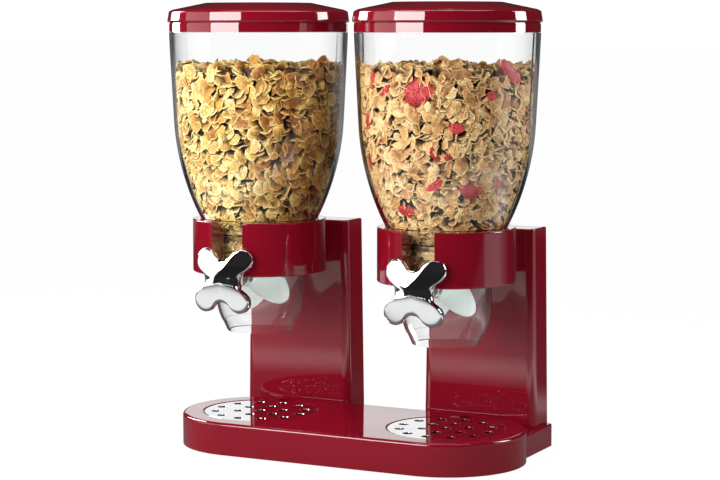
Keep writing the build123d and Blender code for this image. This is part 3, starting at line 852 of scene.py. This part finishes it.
@dataclass
class Cereal:
    """Loose flakes that fill a canister: rows against the wall, rows behind them, the top, and a core.

    What a shoulder or pocket draw ranges over is in millimetres or degrees.
    """

    canister: Canister
    kind: CerealKind
    level: float = 337.0 * MM
    mound: float = 8.0 * MM
    mound_scale: float = 34.0
    wall_depth: float = 0.9 * MM
    layer_step: float = 5.5 * MM
    wall_gap: float = 0.15 * MM
    mouth_gap: float = 2.0 * MM
    shade_start: float = 1.2 * MM
    shade_reach: float = 4.2 * MM
    slot_heights: Range = (200 * MM, 212 * MM)
    slot_shade: float = 0.2
    shapes: int = 11
    twist: float = 24.0
    broken_share: float = 0.28
    broken_size: Range = (0.42, 0.72)
    whole_size: Range = (0.78, 1.26)
    top_count: int = 700
    core_depth: float = 12.0 * MM
    core_steps: int = 14
    core_lumps: float = 2.5 * MM
    wheel_height: float = 154.4 * MM
    wheel_clear: float = 36.0 * MM
    sweep_clear: float = 35.2 * MM
    chamber_inside: float = 36.2 * MM
    shoulder_count: int = 260
    shoulder_reach: Range = (20, 34)
    shoulder_rise: Range = (15, 30)
    loose_size: float = 0.72
    pocket_count: int = 200
    pocket_angles: Range = (76.0, 128.0)
    pocket_limits: Range = (74.5, 129.5)
    pocket_reaches: Range = (12, 27)
    pocket_places: Range = (-25, 22)
    pocket_ball: float = 31.0 * MM
    pocket_reach: float = 33.5 * MM
    pocket_along: float = 27.0 * MM

    def __post_init__(self) -> None:
        """Reads the canister's inside and seeds the draws."""
        self.heights, self.radii = self.canister.inner_line()
        self.draw = random.Random(self.kind.value)
        self.shape = FLAKES[self.kind]
        self.templates = [self.template(index) for index in range(self.shapes)]
        self.fruit = FRUIT_PLACES if self.kind is CerealKind.BRAN else ()

    def wall_radius(self, height: float) -> float:
        """Gives the canister's inner radius at a height."""
        return float(np.interp(height, self.heights, self.radii))

    def surface_height(self, x: float, y: float) -> float:
        """Gives the height of the heaped top at a place."""
        place = Vector((x * self.mound_scale, y * self.mound_scale, 3.0))
        return self.level + self.mound * noise.noise(place)

    def template(self, index: int) -> Mesh:
        """Models one flake: an uneven disc with an inner ring, curled, crinkled and given its thickness.

        Args:
            index: Which of the flakes it is.

        Returns:
            The flake's mesh, around the origin.
        """
        flake, shift = self.shape, Vector((index * 7.3, index * 3.1, 0.0))
        shape = bmesh.new()
        bmesh.ops.create_circle(shape, cap_ends=True, segments=flake.rim_points, radius=flake.radius)
        for name in (RIM_ATTRIBUTE, DEPTH_ATTRIBUTE):
            shape.verts.layers.float.new(name)
        rim_layer = shape.verts.layers.float[RIM_ATTRIBUTE]
        inner = shape.faces[:]
        bmesh.ops.inset_region(shape, faces=inner, thickness=flake.radius * flake.inner_ring,
                               use_even_offset=True)
        bmesh.ops.poke(shape, faces=inner)
        stretch = 1 + flake.stretch * self.draw.uniform(-1, 1)
        curl_x = flake.curl * self.draw.uniform(0.2, 1.0)
        curl_y = flake.curl * self.draw.choice((-0.8, -0.3, 0.2, 0.5, 1.8))
        for vert in shape.verts:
            x, y = vert.co.x / flake.radius, vert.co.y / flake.radius
            vert[rim_layer] = math.hypot(x, y)
            ragged = 1 + flake.ragged * noise.noise(Vector((x, y, 0)) * 1.9 + shift)
            bumps = flake.crinkle * noise.noise(Vector((x, y, 0)) * flake.crinkle_scale + shift * 1.7)
            lift = flake.radius * (curl_x * x * x + curl_y * y * y) + bumps
            vert.co = (vert.co.x * stretch * ragged, vert.co.y * ragged / stretch, lift)
        bmesh.ops.solidify(shape, geom=shape.faces[:], thickness=flake.thickness)
        bmesh.ops.recalc_face_normals(shape, faces=shape.faces[:])
        middle = sum((vert.co for vert in shape.verts), Vector()) / len(shape.verts)
        bmesh.ops.translate(shape, verts=shape.verts[:], vec=-middle)
        mesh = to_mesh(f"{self.kind.value}_template", shape)
        mesh.shade_smooth()
        return mesh

    def lay(self, shape: BMesh, place: Vector, face: Vector, size: float) -> None:
        """Lays a flake in the heap.

        Args:
            shape: The heap's mesh.
            place: The flake's middle, from the canister's axis.
            face: The way that it faces.
            size: Its scale.
        """
        turn = Matrix.Rotation(self.draw.uniform(0, math.tau), 4, "Z")
        flip = Matrix.Rotation(self.draw.choice((0, math.pi)), 4, "X")
        matrix = aimed(place, face) @ flip @ turn @ Matrix.Scale(size, 4)
        lay_mesh(shape, self.draw.choice(self.templates), matrix, self.press, self.depth)

    def press(self, points: Points) -> Points:
        """Presses points inside the wall and out of the paddle wheel's reach.

        Args:
            points: Points of a flake, from the canister's axis.

        Returns:
            The points, moved.
        """
        wheel = np.array([0.0, 0.0, self.wheel_height])
        reach = np.linalg.norm(points - wheel, axis=1)
        push = np.maximum(1.0, self.wheel_clear / np.maximum(reach, MM))
        points = wheel + (points - wheel) * push[:, None]
        points[:, 2] = np.maximum(points[:, 2], self.canister.mouth_height + self.mouth_gap)
        limit = np.interp(points[:, 2], self.heights, self.radii) - self.wall_gap
        radius = np.maximum(np.hypot(points[:, 0], points[:, 1]), MM)
        points[:, :2] *= np.minimum(1.0, limit / radius)[:, None]
        return points

    def depth(self, points: Points) -> Points:
        """Gives how deep points lie behind the wall and under the top, from 0 to 1, which sets their painted
        shade.

        Args:
            points: Points of a flake, from the canister's axis.

        Returns:
            The depth of each point.
        """
        wall = np.interp(points[:, 2], self.heights, self.radii) - np.hypot(points[:, 0], points[:, 1])
        below = self.level + 0.6 * self.mound - points[:, 2]
        deep = np.clip((np.minimum(wall, below) - self.shade_start) / self.shade_reach, 0, 1)
        # Painted shade is weaker below the slot heights, where the cone and the slot lie.
        return deep * np.interp(points[:, 2], self.slot_heights, (self.slot_shade, 1.0))

    def lean(self, way: Vector, upward: float) -> Vector:
        """Gives a flake's facing: outwards, turned upwards by an angle, with a twist to the side.

        Args:
            way: The level way outwards.
            upward: The angle upwards, in degrees.

        Returns:
            The facing, of length 1.
        """
        side = Vector((-way.y, way.x, 0)) * math.tan(math.radians(self.draw.gauss(0, self.twist)))
        rise = math.radians(upward)
        return (way * math.cos(rise) + Vector((0, 0, math.sin(rise))) + side).normalized()

    def lay_row(self, shape: BMesh, height: float, depth: float, upright: float) -> None:
        """Lays one row of flakes around the wall.

        Args:
            shape: The heap's mesh.
            height: The row's height.
            depth: How far its flakes lie from the wall.
            upright: The share of flakes that lean on the wall, while the others lie flatter.
        """
        count = max(5, round(math.tau * (self.wall_radius(height) - depth) / self.shape.spacing))
        start = self.draw.random()
        for step in range(count):
            way = level_way(math.tau * (step + start + self.draw.uniform(-0.4, 0.4)) / count)
            rise = height + self.draw.uniform(-0.5, 0.5) * self.shape.row_height
            leans = self.draw.random() < upright
            upward = self.draw.gauss(8, 15) if leans else self.draw.uniform(30, 80)
            broken = self.draw.random() < self.broken_share
            size = self.draw.uniform(*(self.broken_size if broken else self.whole_size))
            inward = depth + 0.72 * self.shape.radius * size * abs(math.sin(math.radians(upward)))
            place = way * (self.wall_radius(rise) - inward) + Vector((0, 0, rise))
            if rise < self.surface_height(place.x, place.y) and self.shows(place):
                self.lay(shape, place, self.lean(way, upward), size)

    def shows(self, place: Vector) -> bool:
        """Tells whether a flake may lie at a place without hiding a strawberry slice."""
        return all((place - self.slice_middle(each)).length > 0.31 * each.length * MM for each in self.fruit)

    def slice_middle(self, place: FruitPlace) -> Vector:
        """Gives where the middle of a strawberry slice lies, so that it just touches the wall.

        Args:
            place: The slice's place and sizes.

        Returns:
            Its middle, from the canister's axis.
        """
        height = place.height * MM
        reach = self.wall_radius(height) - 0.3 * MM - 0.13 * place.length * MM
        return level_way(math.radians(place.turn - 90)) * reach + Vector((0, 0, height))

    def lay_walls(self, shape: BMesh, depth: float, upright: float) -> None:
        """Lays rows of flakes all the way up, at one depth from the wall.

        Args:
            shape: The heap's mesh.
            depth: How far the flakes lie from the wall.
            upright: The share of flakes that lean on the wall.
        """
        height = self.canister.mouth_height + 2 * self.mouth_gap
        while height < self.level + self.mound:
            self.lay_row(shape, height, depth, upright)
            height += self.shape.row_height

    def lay_top(self, shape: BMesh) -> None:
        """Heaps flakes over the top.

        Args:
            shape: The heap's mesh.
        """
        radius = self.wall_radius(self.level) - 4 * MM
        for _ in range(self.top_count):
            angle, reach = self.draw.uniform(0, math.tau), radius * math.sqrt(self.draw.random())
            x, y = reach * math.cos(angle), reach * math.sin(angle)
            rise = self.surface_height(x, y) + self.draw.uniform(-9, 3) * MM
            across, along = self.draw.uniform(0, math.tau), self.draw.uniform(0, math.tau)
            face = self.lean(Vector((math.cos(across), math.sin(along), 0)), self.draw.gauss(62, 24))
            self.lay(shape, Vector((x, y, rise)), face, self.draw.uniform(0.75, 1.15))

    def build_heap(self, name: str, fill: Callable[[BMesh], None], finish: Finish | None = None,
                   body: str = "canister_body") -> None:
        """Makes one piece of the heap and moves it to the canister.

        Args:
            name: The piece's name, without its side.
            fill: Lays the flakes.
            finish: The finish, or None for the flakes' own.
            body: The body that it rides on, without its side.
        """
        shape = bmesh.new()
        fill(shape)
        bmesh.ops.translate(shape, verts=shape.verts[:], vec=self.canister.centre)
        finished(f"{name}_{self.canister.side}", shape, finish or CRUSTS[self.kind],
                 f"{body}_{self.canister.side}", sharp=75)

    def build_core(self) -> None:
        """Fills the middle with a crumbly core in full painted shade, so that no light comes through the
        heap.
        """
        bottom, top = self.canister.mouth_height + 22 * MM, self.level - 6 * MM
        step = (top - bottom) / self.core_steps
        rises = [bottom + step * index for index in range(self.core_steps + 1)]
        wall = [Corner(self.wall_radius(rise) - self.core_depth, rise) for rise in rises]
        shape = turned([Corner(0, bottom), *wall, Corner(0, top)], self.canister.centre, steps=60)
        depth_layer = shape.verts.layers.float.new(DEPTH_ATTRIBUTE)
        for vert in shape.verts:
            vert.co += vert.normal * self.core_lumps * noise.noise(vert.co * 110)
            # Full painted shade all over the core.
            vert[depth_layer] = 1.0
        finished(f"{self.kind.value}_core_{self.canister.side}", shape, CRUSTS[self.kind],
                 f"canister_body_{self.canister.side}", sharp=180)

    def lay_pockets(self, shape: BMesh) -> None:
        """Lays the flakes that the paddle wheel's upper pockets have taken up.

        Args:
            shape: The heap's mesh.
        """
        for _ in range(self.pocket_count):
            angle = math.radians(self.draw.uniform(*self.pocket_angles))
            reach = self.draw.uniform(*self.pocket_reaches) * MM
            along = self.draw.uniform(*self.pocket_places) * MM
            rise = self.wheel_height + reach * math.sin(angle)
            if math.hypot(reach, along) < self.pocket_ball:
                self.drop(shape, Vector((reach * math.cos(angle), along, rise)), self.hold, self.pocket_shade)

    def lay_shoulder(self, shape: BMesh) -> None:
        """Lays the flakes that have come through the mouth and lie around the top of the paddle wheel.

        Args:
            shape: The heap's mesh.
        """
        for _ in range(self.shoulder_count):
            way = level_way(self.draw.uniform(0, math.tau))
            reach = self.draw.uniform(*self.shoulder_reach) * MM
            rise = self.wheel_height + self.draw.uniform(*self.shoulder_rise) * MM
            self.drop(shape, way * reach + Vector((0, 0, rise)), self.tuck, self.shoulder_shade)

    def drop(self, shape: BMesh, middle: Vector, settle: Rule, depth: Rule) -> None:
        """Drops a smaller flake at a place, facing any way, more often the front.

        Args:
            shape: The heap's mesh.
            middle: The flake's place.
            settle: Moves its points to where they may be.
            depth: Gives how deep they lie, from 0 to 1.
        """
        face = Vector((self.draw.gauss(0, 1), self.draw.gauss(-0.6, 1), self.draw.gauss(0, 1))).normalized()
        matrix = aimed(middle, face) @ Matrix.Scale(self.loose_size, 4)
        lay_mesh(shape, self.draw.choice(self.templates), matrix, settle, depth)

    def tuck(self, points: Points) -> Points:
        """Keeps points in the chamber, under the mouth and out of the paddle wheel's sweep.

        Args:
            points: Points of a flake, from the canister's axis.

        Returns:
            The points, moved.
        """
        points[:, 2] = np.clip(points[:, 2], self.wheel_height, self.canister.ring_bottom - 0.4 * MM)
        sweep = np.sqrt(np.maximum(0.0, self.sweep_clear ** 2 - (points[:, 2] - self.wheel_height) ** 2))
        radius = np.maximum(np.hypot(points[:, 0], points[:, 1]), MM)
        points[:, :2] *= (np.clip(radius, sweep, self.chamber_inside) / radius)[:, None]
        return points

    def hold(self, points: Points) -> Points:
        """Keeps points inside the wheel's sweep at every turn and between its vanes.

        Args:
            points: Points of a flake, from the canister's axis.

        Returns:
            The points, moved.
        """
        along = np.clip(points[:, 1], -self.pocket_along, self.pocket_along)
        low, high = (math.radians(value) for value in self.pocket_limits)
        x, z = points[:, 0], points[:, 2] - self.wheel_height
        reach = np.minimum(np.hypot(x, z), np.sqrt(self.pocket_reach ** 2 - along ** 2))
        angle = np.clip(np.arctan2(z, x), low, high)
        return np.column_stack((reach * np.cos(angle), along, self.wheel_height + reach * np.sin(angle)))

    def shoulder_shade(self, points: Points) -> Points:
        """Gives how deep points lie behind the chamber's wall, from 0 to 1, which sets their painted shade.
        """
        inward = self.chamber_inside - MM - np.hypot(points[:, 0], points[:, 1])
        return 0.35 * np.clip(inward / (9 * MM), 0, 1)

    def pocket_shade(self, points: Points) -> Points:
        """Gives how deep points lie behind the front of the pockets, from 0 to 1, which sets their painted
        shade.
        """
        return 0.5 * np.clip((points[:, 1] + 20 * MM) / (30 * MM), 0, 1)

    def slice(self, place: FruitPlace, index: int) -> Mesh:
        """Models one strawberry slice: a heart-like outline, plump, bent and crinkled.

        Args:
            place: Its sizes.
            index: Which slice it is.

        Returns:
            The slice's mesh, around the origin.
        """
        shape, shift = bmesh.new(), Vector((index * 5.1, 0, index * 2.3))
        half = place.length * MM / 2
        bmesh.ops.create_uvsphere(shape, u_segments=18, v_segments=10, radius=half)
        shape.verts.layers.float.new(DEPTH_ATTRIBUTE)
        for vert in shape.verts:
            x, y, z = vert.co / half
            taper = 1 - 0.38 * max(0.0, x) ** 2 - 0.10 * max(0.0, -x) ** 2
            wave = 0.20 * noise.noise(vert.co * 210 + shift)
            lift = 1.6 * MM * noise.noise(Vector((x, y, 0)) * 2.2 + shift)
            vert.co = (half * x * (1 + wave), half * place.breadth * y * taper * (1 + wave),
                       half * 0.30 * z + lift + half * 0.10 * x * x)
        return to_mesh("slice_template", shape)

    def lay_fruit(self, shape: BMesh) -> None:
        """Lays strawberry slices against the wall.

        Args:
            shape: The heap's mesh.
        """
        for index, place in enumerate(self.fruit):
            middle = self.slice_middle(place)
            way = Vector((middle.x, middle.y, 0)).normalized()
            matrix = aimed(middle, self.lean(way, self.draw.gauss(10, 10)))
            roll = Matrix.Rotation(math.radians(place.roll), 4, "Z")
            lay_mesh(shape, self.slice(place, index), matrix @ roll, self.press, self.depth)

    def build(self) -> None:
        """Builds the whole heap."""
        kind, inner_depth = self.kind.value, self.wall_depth + self.layer_step
        self.build_heap(f"{kind}_wall", lambda shape: self.lay_walls(shape, self.wall_depth, 0.52))
        self.build_heap(f"{kind}_inner", lambda shape: self.lay_walls(shape, inner_depth, 0.4))
        self.build_heap(f"{kind}_top", self.lay_top)
        self.build_heap(f"{kind}_shoulder", self.lay_shoulder)
        self.build_heap(f"{kind}_pockets", self.lay_pockets, body="wheel_body")
        self.build_core()
        if self.fruit:
            self.build_heap("strawberry_slices", self.lay_fruit, FRUIT)


@dataclass
class Knob:
    """Chromed knob with four plump lobes, a domed front and a short stem."""

    side: str
    lobe_radius: float = 9.8 * MM
    lobe_x: float = 17.0 * MM
    lobe_z: float = 18.0 * MM
    notch_radius: float = 10.5 * MM
    thickness: float = 10.0 * MM
    rear_middle: float = 9.0 * MM
    rear_follow: float = 0.6
    rear_rings: tuple[Range, ...] = ((0.25, 0.0), (0.9, 0.0), (0.965, 0.25 * MM), (0.99, 0.9 * MM),
                                     (1.0, 1.8 * MM))
    edge_rings: tuple[float, ...] = (1.0, 0.988, 0.974, 0.958, 0.94)
    face_rings: int = 37
    face_start: float = 0.92
    face_step: float = 0.025
    bow_radius: float = 140.0 * MM
    upper_tilt: float = 12.0
    lower_tilt: float = 10.5
    dent: float = 0.2
    dent_heights: tuple[float, ...] = (-3.0 * MM, 3.5 * MM, 12.0 * MM, 26.0 * MM)
    dent_starts: tuple[float, ...] = (-6.5 * MM, -5.0 * MM, 3.0 * MM, 13.5 * MM)
    left_dent: float = 0.06
    left_reach: float = 4.0 * MM
    crease: float = 1.5 * MM
    crease_fall: float = 0.24
    softness: float = 0.35 * MM
    ridge_width: float = 1.6 * MM
    edge_depth: float = 1.5 * MM
    edge_reach: float = 0.9 * MM
    stem_radius: float = 7.5 * MM
    segments: int = 256

    def __post_init__(self) -> None:
        """Reads the place from the frame."""
        low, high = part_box(f"knob_{self.side}")
        self.centre = Vector(((low.x + high.x) / 2, low.y, (low.z + high.z) / 2))
        self.stem_end = high.y

    def reach(self, angle: float) -> float:
        """Gives the outline's distance from the middle, over a lobe or in a notch.

        Args:
            angle: The angle from +X towards +Z.

        Returns:
            The distance, in metres.
        """
        way = Vector((abs(math.cos(angle)), abs(math.sin(angle))))
        lobe = Vector((self.lobe_x, self.lobe_z))
        apart = self.lobe_radius + self.notch_radius
        for across, along in ((0, 1), (1, 0)):
            notch = Vector((0.0, 0.0))
            notch[along] = lobe[along] + math.sqrt(apart ** 2 - lobe[across] ** 2)
            contact = lobe + (notch - lobe) * self.lobe_radius / apart
            if way.cross(contact) * (1 if along else -1) < 0:
                middle = way.dot(notch)
                return middle - math.sqrt(self.notch_radius ** 2 - notch.length_squared + middle ** 2)
        middle = way.dot(lobe)
        return middle + math.sqrt(max(0.0, self.lobe_radius ** 2 - lobe.length_squared + middle ** 2))

    def bow(self, x: float, z: float) -> float:
        """Gives how far the front lies behind its middle: bowed, creased across, and turned at a lobe.

        Args:
            x: The place across.
            z: The place upwards.

        Returns:
            The distance, in metres.
        """
        rise = z + self.crease + self.crease_fall * abs(x)
        over = math.sqrt(rise * rise + self.ridge_width ** 2) - self.ridge_width
        tilt = self.upper_tilt if rise > 0 else self.lower_tilt
        bowed = x * x / 2 / self.bow_radius + over * math.tan(math.radians(tilt))
        above = min(1.0, max(0.0, rise / self.softness + 0.5))
        return bowed + self.dents(x, z) * above * above * (3 - 2 * above)

    def past(self, length: float) -> float:
        """Gives a length if it is positive and else nothing, with a soft change between."""
        return self.softness * math.log1p(math.exp(min(60.0, length / self.softness)))

    def dents(self, x: float, z: float) -> float:
        """Gives the depth of the turned side of the upper right lobe, and of the dent left of the middle."""
        right = self.dent * self.past(x - float(np.interp(z, self.dent_heights, self.dent_starts)))
        return right + self.left_dent * self.past(-x - self.crease) * math.exp(-(z / self.left_reach) ** 2)

    def ring(self, share: float, angle: float, back: float | None = None) -> Vector:
        """Gives a point of a ring around the knob.

        Args:
            share: The ring's size as a share of the outline.
            angle: The point's angle.
            back: How far in front of the rear face it lies, or None on the front.

        Returns:
            The point, with the front's middle as the origin.
        """
        outline = self.reach(angle)
        x, z = outline * share * math.cos(angle), outline * share * math.sin(angle)
        if back is None:
            rounding = self.edge_depth * math.exp(-outline * (1 - share) / self.edge_reach)
            return Vector((x, self.bow(x, z) + rounding, z))
        return Vector((x, self.rear_middle + self.rear_follow * self.bow(x, z) - back, z))

    def build(self) -> None:
        """Models the knob from rings and puts it on the shaft."""
        face = [self.face_start - self.face_step * step for step in range(self.face_rings)]
        rings = [*self.rear_rings, *((share, None) for share in (*self.edge_rings, *face))]
        shape = bmesh.new()
        bmesh.ops.create_circle(shape, cap_ends=False, segments=self.segments, radius=1.0)
        bmesh.ops.rotate(shape, verts=shape.verts[:], matrix=Matrix.Rotation(math.pi / 2, 3, "X"))
        edges, loop = shape.edges[:], shape.verts[:]
        for index, (share, back) in enumerate(rings):
            if index:
                edges, loop = self.next_ring(shape, edges)
            for vert in loop:
                vert.co = self.ring(share, math.atan2(vert.co.z, vert.co.x), back)
        bmesh.ops.poke(shape, faces=bmesh.ops.edgeloop_fill(shape, edges=edges)["faces"])
        edges = [edge for edge in shape.edges if edge.is_boundary]
        for depth in (self.thickness, self.stem_end - self.centre.y):
            edges, loop = self.next_ring(shape, edges)
            for vert in loop:
                angle = math.atan2(vert.co.z, vert.co.x)
                vert.co = (self.stem_radius * math.cos(angle), depth, self.stem_radius * math.sin(angle))
        bmesh.ops.edgeloop_fill(shape, edges=edges)
        bmesh.ops.recalc_face_normals(shape, faces=shape.faces[:])
        bmesh.ops.translate(shape, verts=shape.verts[:], vec=self.centre)
        piece = finished(f"knob_shell_{self.side}", shape, KNOB_CHROME, f"wheel_body_{self.side}")
        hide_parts(f"knob_{self.side}")

    def next_ring(self, shape: BMesh, edges: list) -> tuple[list, list]:
        """Extrudes a ring of edges and gives the new ring's edges and points.

        Args:
            shape: The knob's mesh.
            edges: The ring's edges.

        Returns:
            The new ring's edges, and its points.
        """
        made = bmesh.ops.extrude_edge_only(shape, edges=edges)["geom"]
        return ([item for item in made if isinstance(item, bmesh.types.BMEdge)],
                [item for item in made if isinstance(item, bmesh.types.BMVert)])


@dataclass
class PhotoCamera:
    """The camera at the photograph's viewing angle."""

    place: tuple[float, float, float] = (0.8065, -1.6019, 0.3760)
    dip: float = 6.01
    lens: float = 102.4
    reach: float = 60.0

    def build(self) -> None:
        """Adds the camera and makes it the scene's own."""
        camera = bpy.data.objects.new("photo_camera", bpy.data.cameras.new("photo_camera"))
        bpy.context.scene.collection.objects.link(camera)
        camera.location = self.place
        camera.rotation_euler = (math.radians(90 - self.dip), 0, math.radians(CAMERA_TURN))
        camera.data.lens = self.lens
        camera.data.clip_end = self.reach
        bpy.context.scene.camera = camera


@dataclass(frozen=True)
class Softbox:
    """A soft lamp, placed by its direction from the object as the camera's own line is turned."""

    name: str
    turn: float
    rise: float
    distance: float
    width: float
    height: float
    power: float


@dataclass
class Studio:
    """Floor, a card behind the object, surroundings and lamps."""

    aim: tuple[float, float, float] = (0.0, 0.0, 0.2)
    floor_size: float = 60.0
    floor_colour: Colour = (0.62, 0.62, 0.62)
    floor_glow: float = 1.03
    floor_share: float = 0.95
    # How far in front the painted light on the mirrored paper reaches.
    painted_light_reach: float = 0.9
    card_distance: float = 2.0
    card_width: float = 1.6
    card_heights: Range = (0.345, 0.48)
    room_light: float = 0.21
    dim_room: Colour = (0.022, 0.02, 0.02)
    lamps: tuple[Softbox, ...] = (
        Softbox("key_softbox", -44, 20.8, 1.1, 0.71, 0.50, 10.4),
        Softbox("fill_softbox", -81, 15.8, 1.45, 0.96, 0.82, 3.0),
        Softbox("left_strip", -124, 21.9, 1.1, 0.41, 0.54, 7.6),
        Softbox("right_strip", 92, 21.9, 1.1, 0.32, 0.54, 5.0),
        Softbox("overhead_softbox", 0, 88, 0.64, 0.6, 0.36, 2.2),
    )

    def towards_camera(self, turn: float = 0.0) -> Vector:
        """Gives the level direction from the object to the camera, or turned from it by an angle."""
        return level_way(math.radians(CAMERA_TURN + turn - 90))

    def build(self) -> None:
        """Adds the whole studio."""
        self.build_floor()
        self.build_card()
        self.build_room()
        for lamp in self.lamps:
            self.build_lamp(lamp)
        bpy.context.scene.view_settings.view_transform = "Standard"

    def sheet(self, name: str, matrix: Matrix) -> tuple[Piece, Nodes]:
        """Adds a flat sheet of the studio.

        Args:
            name: The sheet's name.
            matrix: Turns, stretches and places a square of one metre.

        Returns:
            The sheet, and the empty nodes of its material.
        """
        shape = bmesh.new()
        bmesh.ops.create_grid(shape, x_segments=1, y_segments=1, size=0.5, matrix=matrix)
        material = bpy.data.materials.new(f"{name}_paper")
        piece = to_piece(name, to_mesh(name, shape), material)
        return piece, emptied(material)

    def build_floor(self) -> None:
        """Adds the pale floor, white to the camera and still shaded by the object, with painted light and
        shade where mirrors see it.
        """
        _, nodes = self.sheet("floor", Matrix.Scale(self.floor_size, 4))
        matt = nodes.add("BsdfDiffuse", {"Color": self.floor_colour}).outputs[0]
        glossy = nodes.add("LightPath").outputs["Is Glossy Ray"]
        straight = self.straight_view(nodes)
        mirrors = nodes.math("SUBTRACT", glossy, straight, clamp=True)
        # Painted light and shade: mirrors see the paper with its painted brightness instead of plain white.
        mirrored = nodes.blend(mirrors, (1.0, 1.0, 1.0), self.painted_paper_light(nodes))
        white = nodes.add("Emission", {"Color": mirrored, "Strength": self.floor_glow}).outputs[0]
        seen = nodes.times(nodes.math("MAXIMUM", straight, glossy), self.floor_share)
        mixed = nodes.add("MixShader", {0: seen, 1: matt, 2: white}).outputs[0]
        nodes.add("OutputMaterial", {"Surface": mixed})

    def build_card(self) -> None:
        """Adds a low white card far behind, which only the level faces of the object mirror."""
        away, low, high = -self.towards_camera(), *self.card_heights
        middle = away * self.card_distance + Vector((0, 0, (low + high) / 2))
        across = away.cross(Vector((0, 0, 1))) * self.card_width
        turn = Matrix((across, Vector((0, 0, high - low)), away)).transposed().to_4x4()
        card, nodes = self.sheet("card", Matrix.Translation(middle) @ turn)
        white = nodes.add("Emission", {"Color": (1.0, 1.0, 1.0), "Strength": 1.0}).outputs[0]
        nodes.add("OutputMaterial", {"Surface": white})
        card.visible_camera = card.visible_diffuse = card.visible_transmission = card.visible_shadow = False

    def painted_paper_light(self, nodes: Nodes) -> Socket:
        """Gives the painted brightness of the paper as mirrors see it: painted light in front, at the right
        side and far behind, and a painted contact shadow near the object.

        Args:
            nodes: The floor's nodes.

        Returns:
            The brightness, 0 to 1.
        """
        place = nodes.place()
        forth = nodes.along(place, self.towards_camera())
        across = nodes.along(place, self.towards_camera(90))
        flat = nodes.add("VectorMath", {0: place, 1: (0.5, 1.0, 1.0)}, operation="MULTIPLY").outputs[0]
        reach = nodes.add("VectorMath", {0: flat}, operation="LENGTH").outputs["Value"]
        front = nodes.times(nodes.span(forth, self.painted_light_reach, self.painted_light_reach + 0.25, 1.0, 0.06),
                            nodes.span(forth, -0.25, -0.02, 0.04, 1.0))
        far = nodes.times(nodes.span(reach, 0.345, 0.44, 1.0, 0.40), nodes.span(reach, 0.44, 0.80, 1.0, 0.35))
        # Painted contact shadow near the object.
        painted_contact_shadow = nodes.times(nodes.span(reach, 0.23, 0.33, 0.12, 0.88), far)
        turn = nodes.math("ARCTAN2", across, forth)
        # Painted light in a band to the right.
        right_light_band = nodes.times(nodes.span(turn, 1.0, 1.15, 0.0, 0.5), nodes.span(turn, 1.4, 2.1, 1.0, 0.0))
        right = nodes.times(nodes.span(across, 0.25, 0.5, 0.0, 1.0), right_light_band)
        behind = nodes.span(forth, -2.0, -1.3, 0.2, 0.0)
        return nodes.plus(nodes.times(front, painted_contact_shadow), nodes.plus(right, behind))

    def straight_view(self, nodes: Nodes) -> Socket:
        """Gives 1 to rays that see the background directly or through clear plastic, and 0 to others.

        Args:
            nodes: The nodes to add to.

        Returns:
            The value, 0 or 1.
        """
        path = nodes.add("LightPath").outputs
        straight = nodes.math("MAXIMUM", path["Is Camera Ray"], path["Is Transmission Ray"])
        scattered = nodes.math("MINIMUM", nodes.plus(path["Diffuse Depth"], path["Glossy Depth"]), 1.0)
        return nodes.math("SUBTRACT", straight, scattered, clamp=True)

    def build_room(self) -> None:
        """Adds the world: white behind the object to the camera, a dim room in reflections."""
        world = bpy.data.worlds.new("studio_room")
        bpy.context.scene.world = world
        nodes = emptied(world)
        glossy = nodes.add("LightPath").outputs["Is Glossy Ray"]
        light = nodes.blend(glossy, (self.room_light,) * 3, self.dim_room)
        colour = nodes.blend(self.straight_view(nodes), light, (1.12, 1.12, 1.12))
        background = nodes.add("Background", {"Color": colour, "Strength": 1.0}).outputs[0]
        nodes.add("OutputWorld", {"Surface": background})

    def build_lamp(self, lamp: Softbox) -> None:
        """Adds one softbox, facing the object.

        Args:
            lamp: The softbox.
        """
        rise = math.radians(lamp.rise)
        away = self.towards_camera(lamp.turn) * math.cos(rise) + Vector((0, 0, math.sin(rise)))
        data = bpy.data.lights.new(lamp.name, "AREA")
        data.shape = "RECTANGLE"
        data.size, data.size_y = lamp.width, lamp.height
        data.energy = lamp.power
        light = bpy.data.objects.new(lamp.name, data)
        light.visible_camera = light.visible_transmission = False
        bpy.context.scene.collection.objects.link(light)
        light.location = Vector(self.aim) + away * lamp.distance
        light.rotation_euler = (-away).to_track_quat("-Z", "Y").to_euler()


def dress_frame() -> None:
    """Gives every node of the frame its finish."""
    for name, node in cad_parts.items():
        finish = NODE_FINISHES[name.removesuffix("_left").removesuffix("_right")]
        node.data.materials.clear()
        node.data.materials.append(finish.material())
        log.info("%s dressed in %s", name, finish.name)


def main() -> None:
    """Builds the camera, the studio and every piece in order."""
    logging.basicConfig(level=logging.INFO, format="%(message)s")
    PhotoCamera().build()
    Studio().build()
    dress_frame()
    for side, kind in zip(SIDES, (CerealKind.CORN, CerealKind.BRAN)):
        Cereal(Canister(side), kind).build()
        Knob(side).build()


if __name__ == "__main__":
    main()
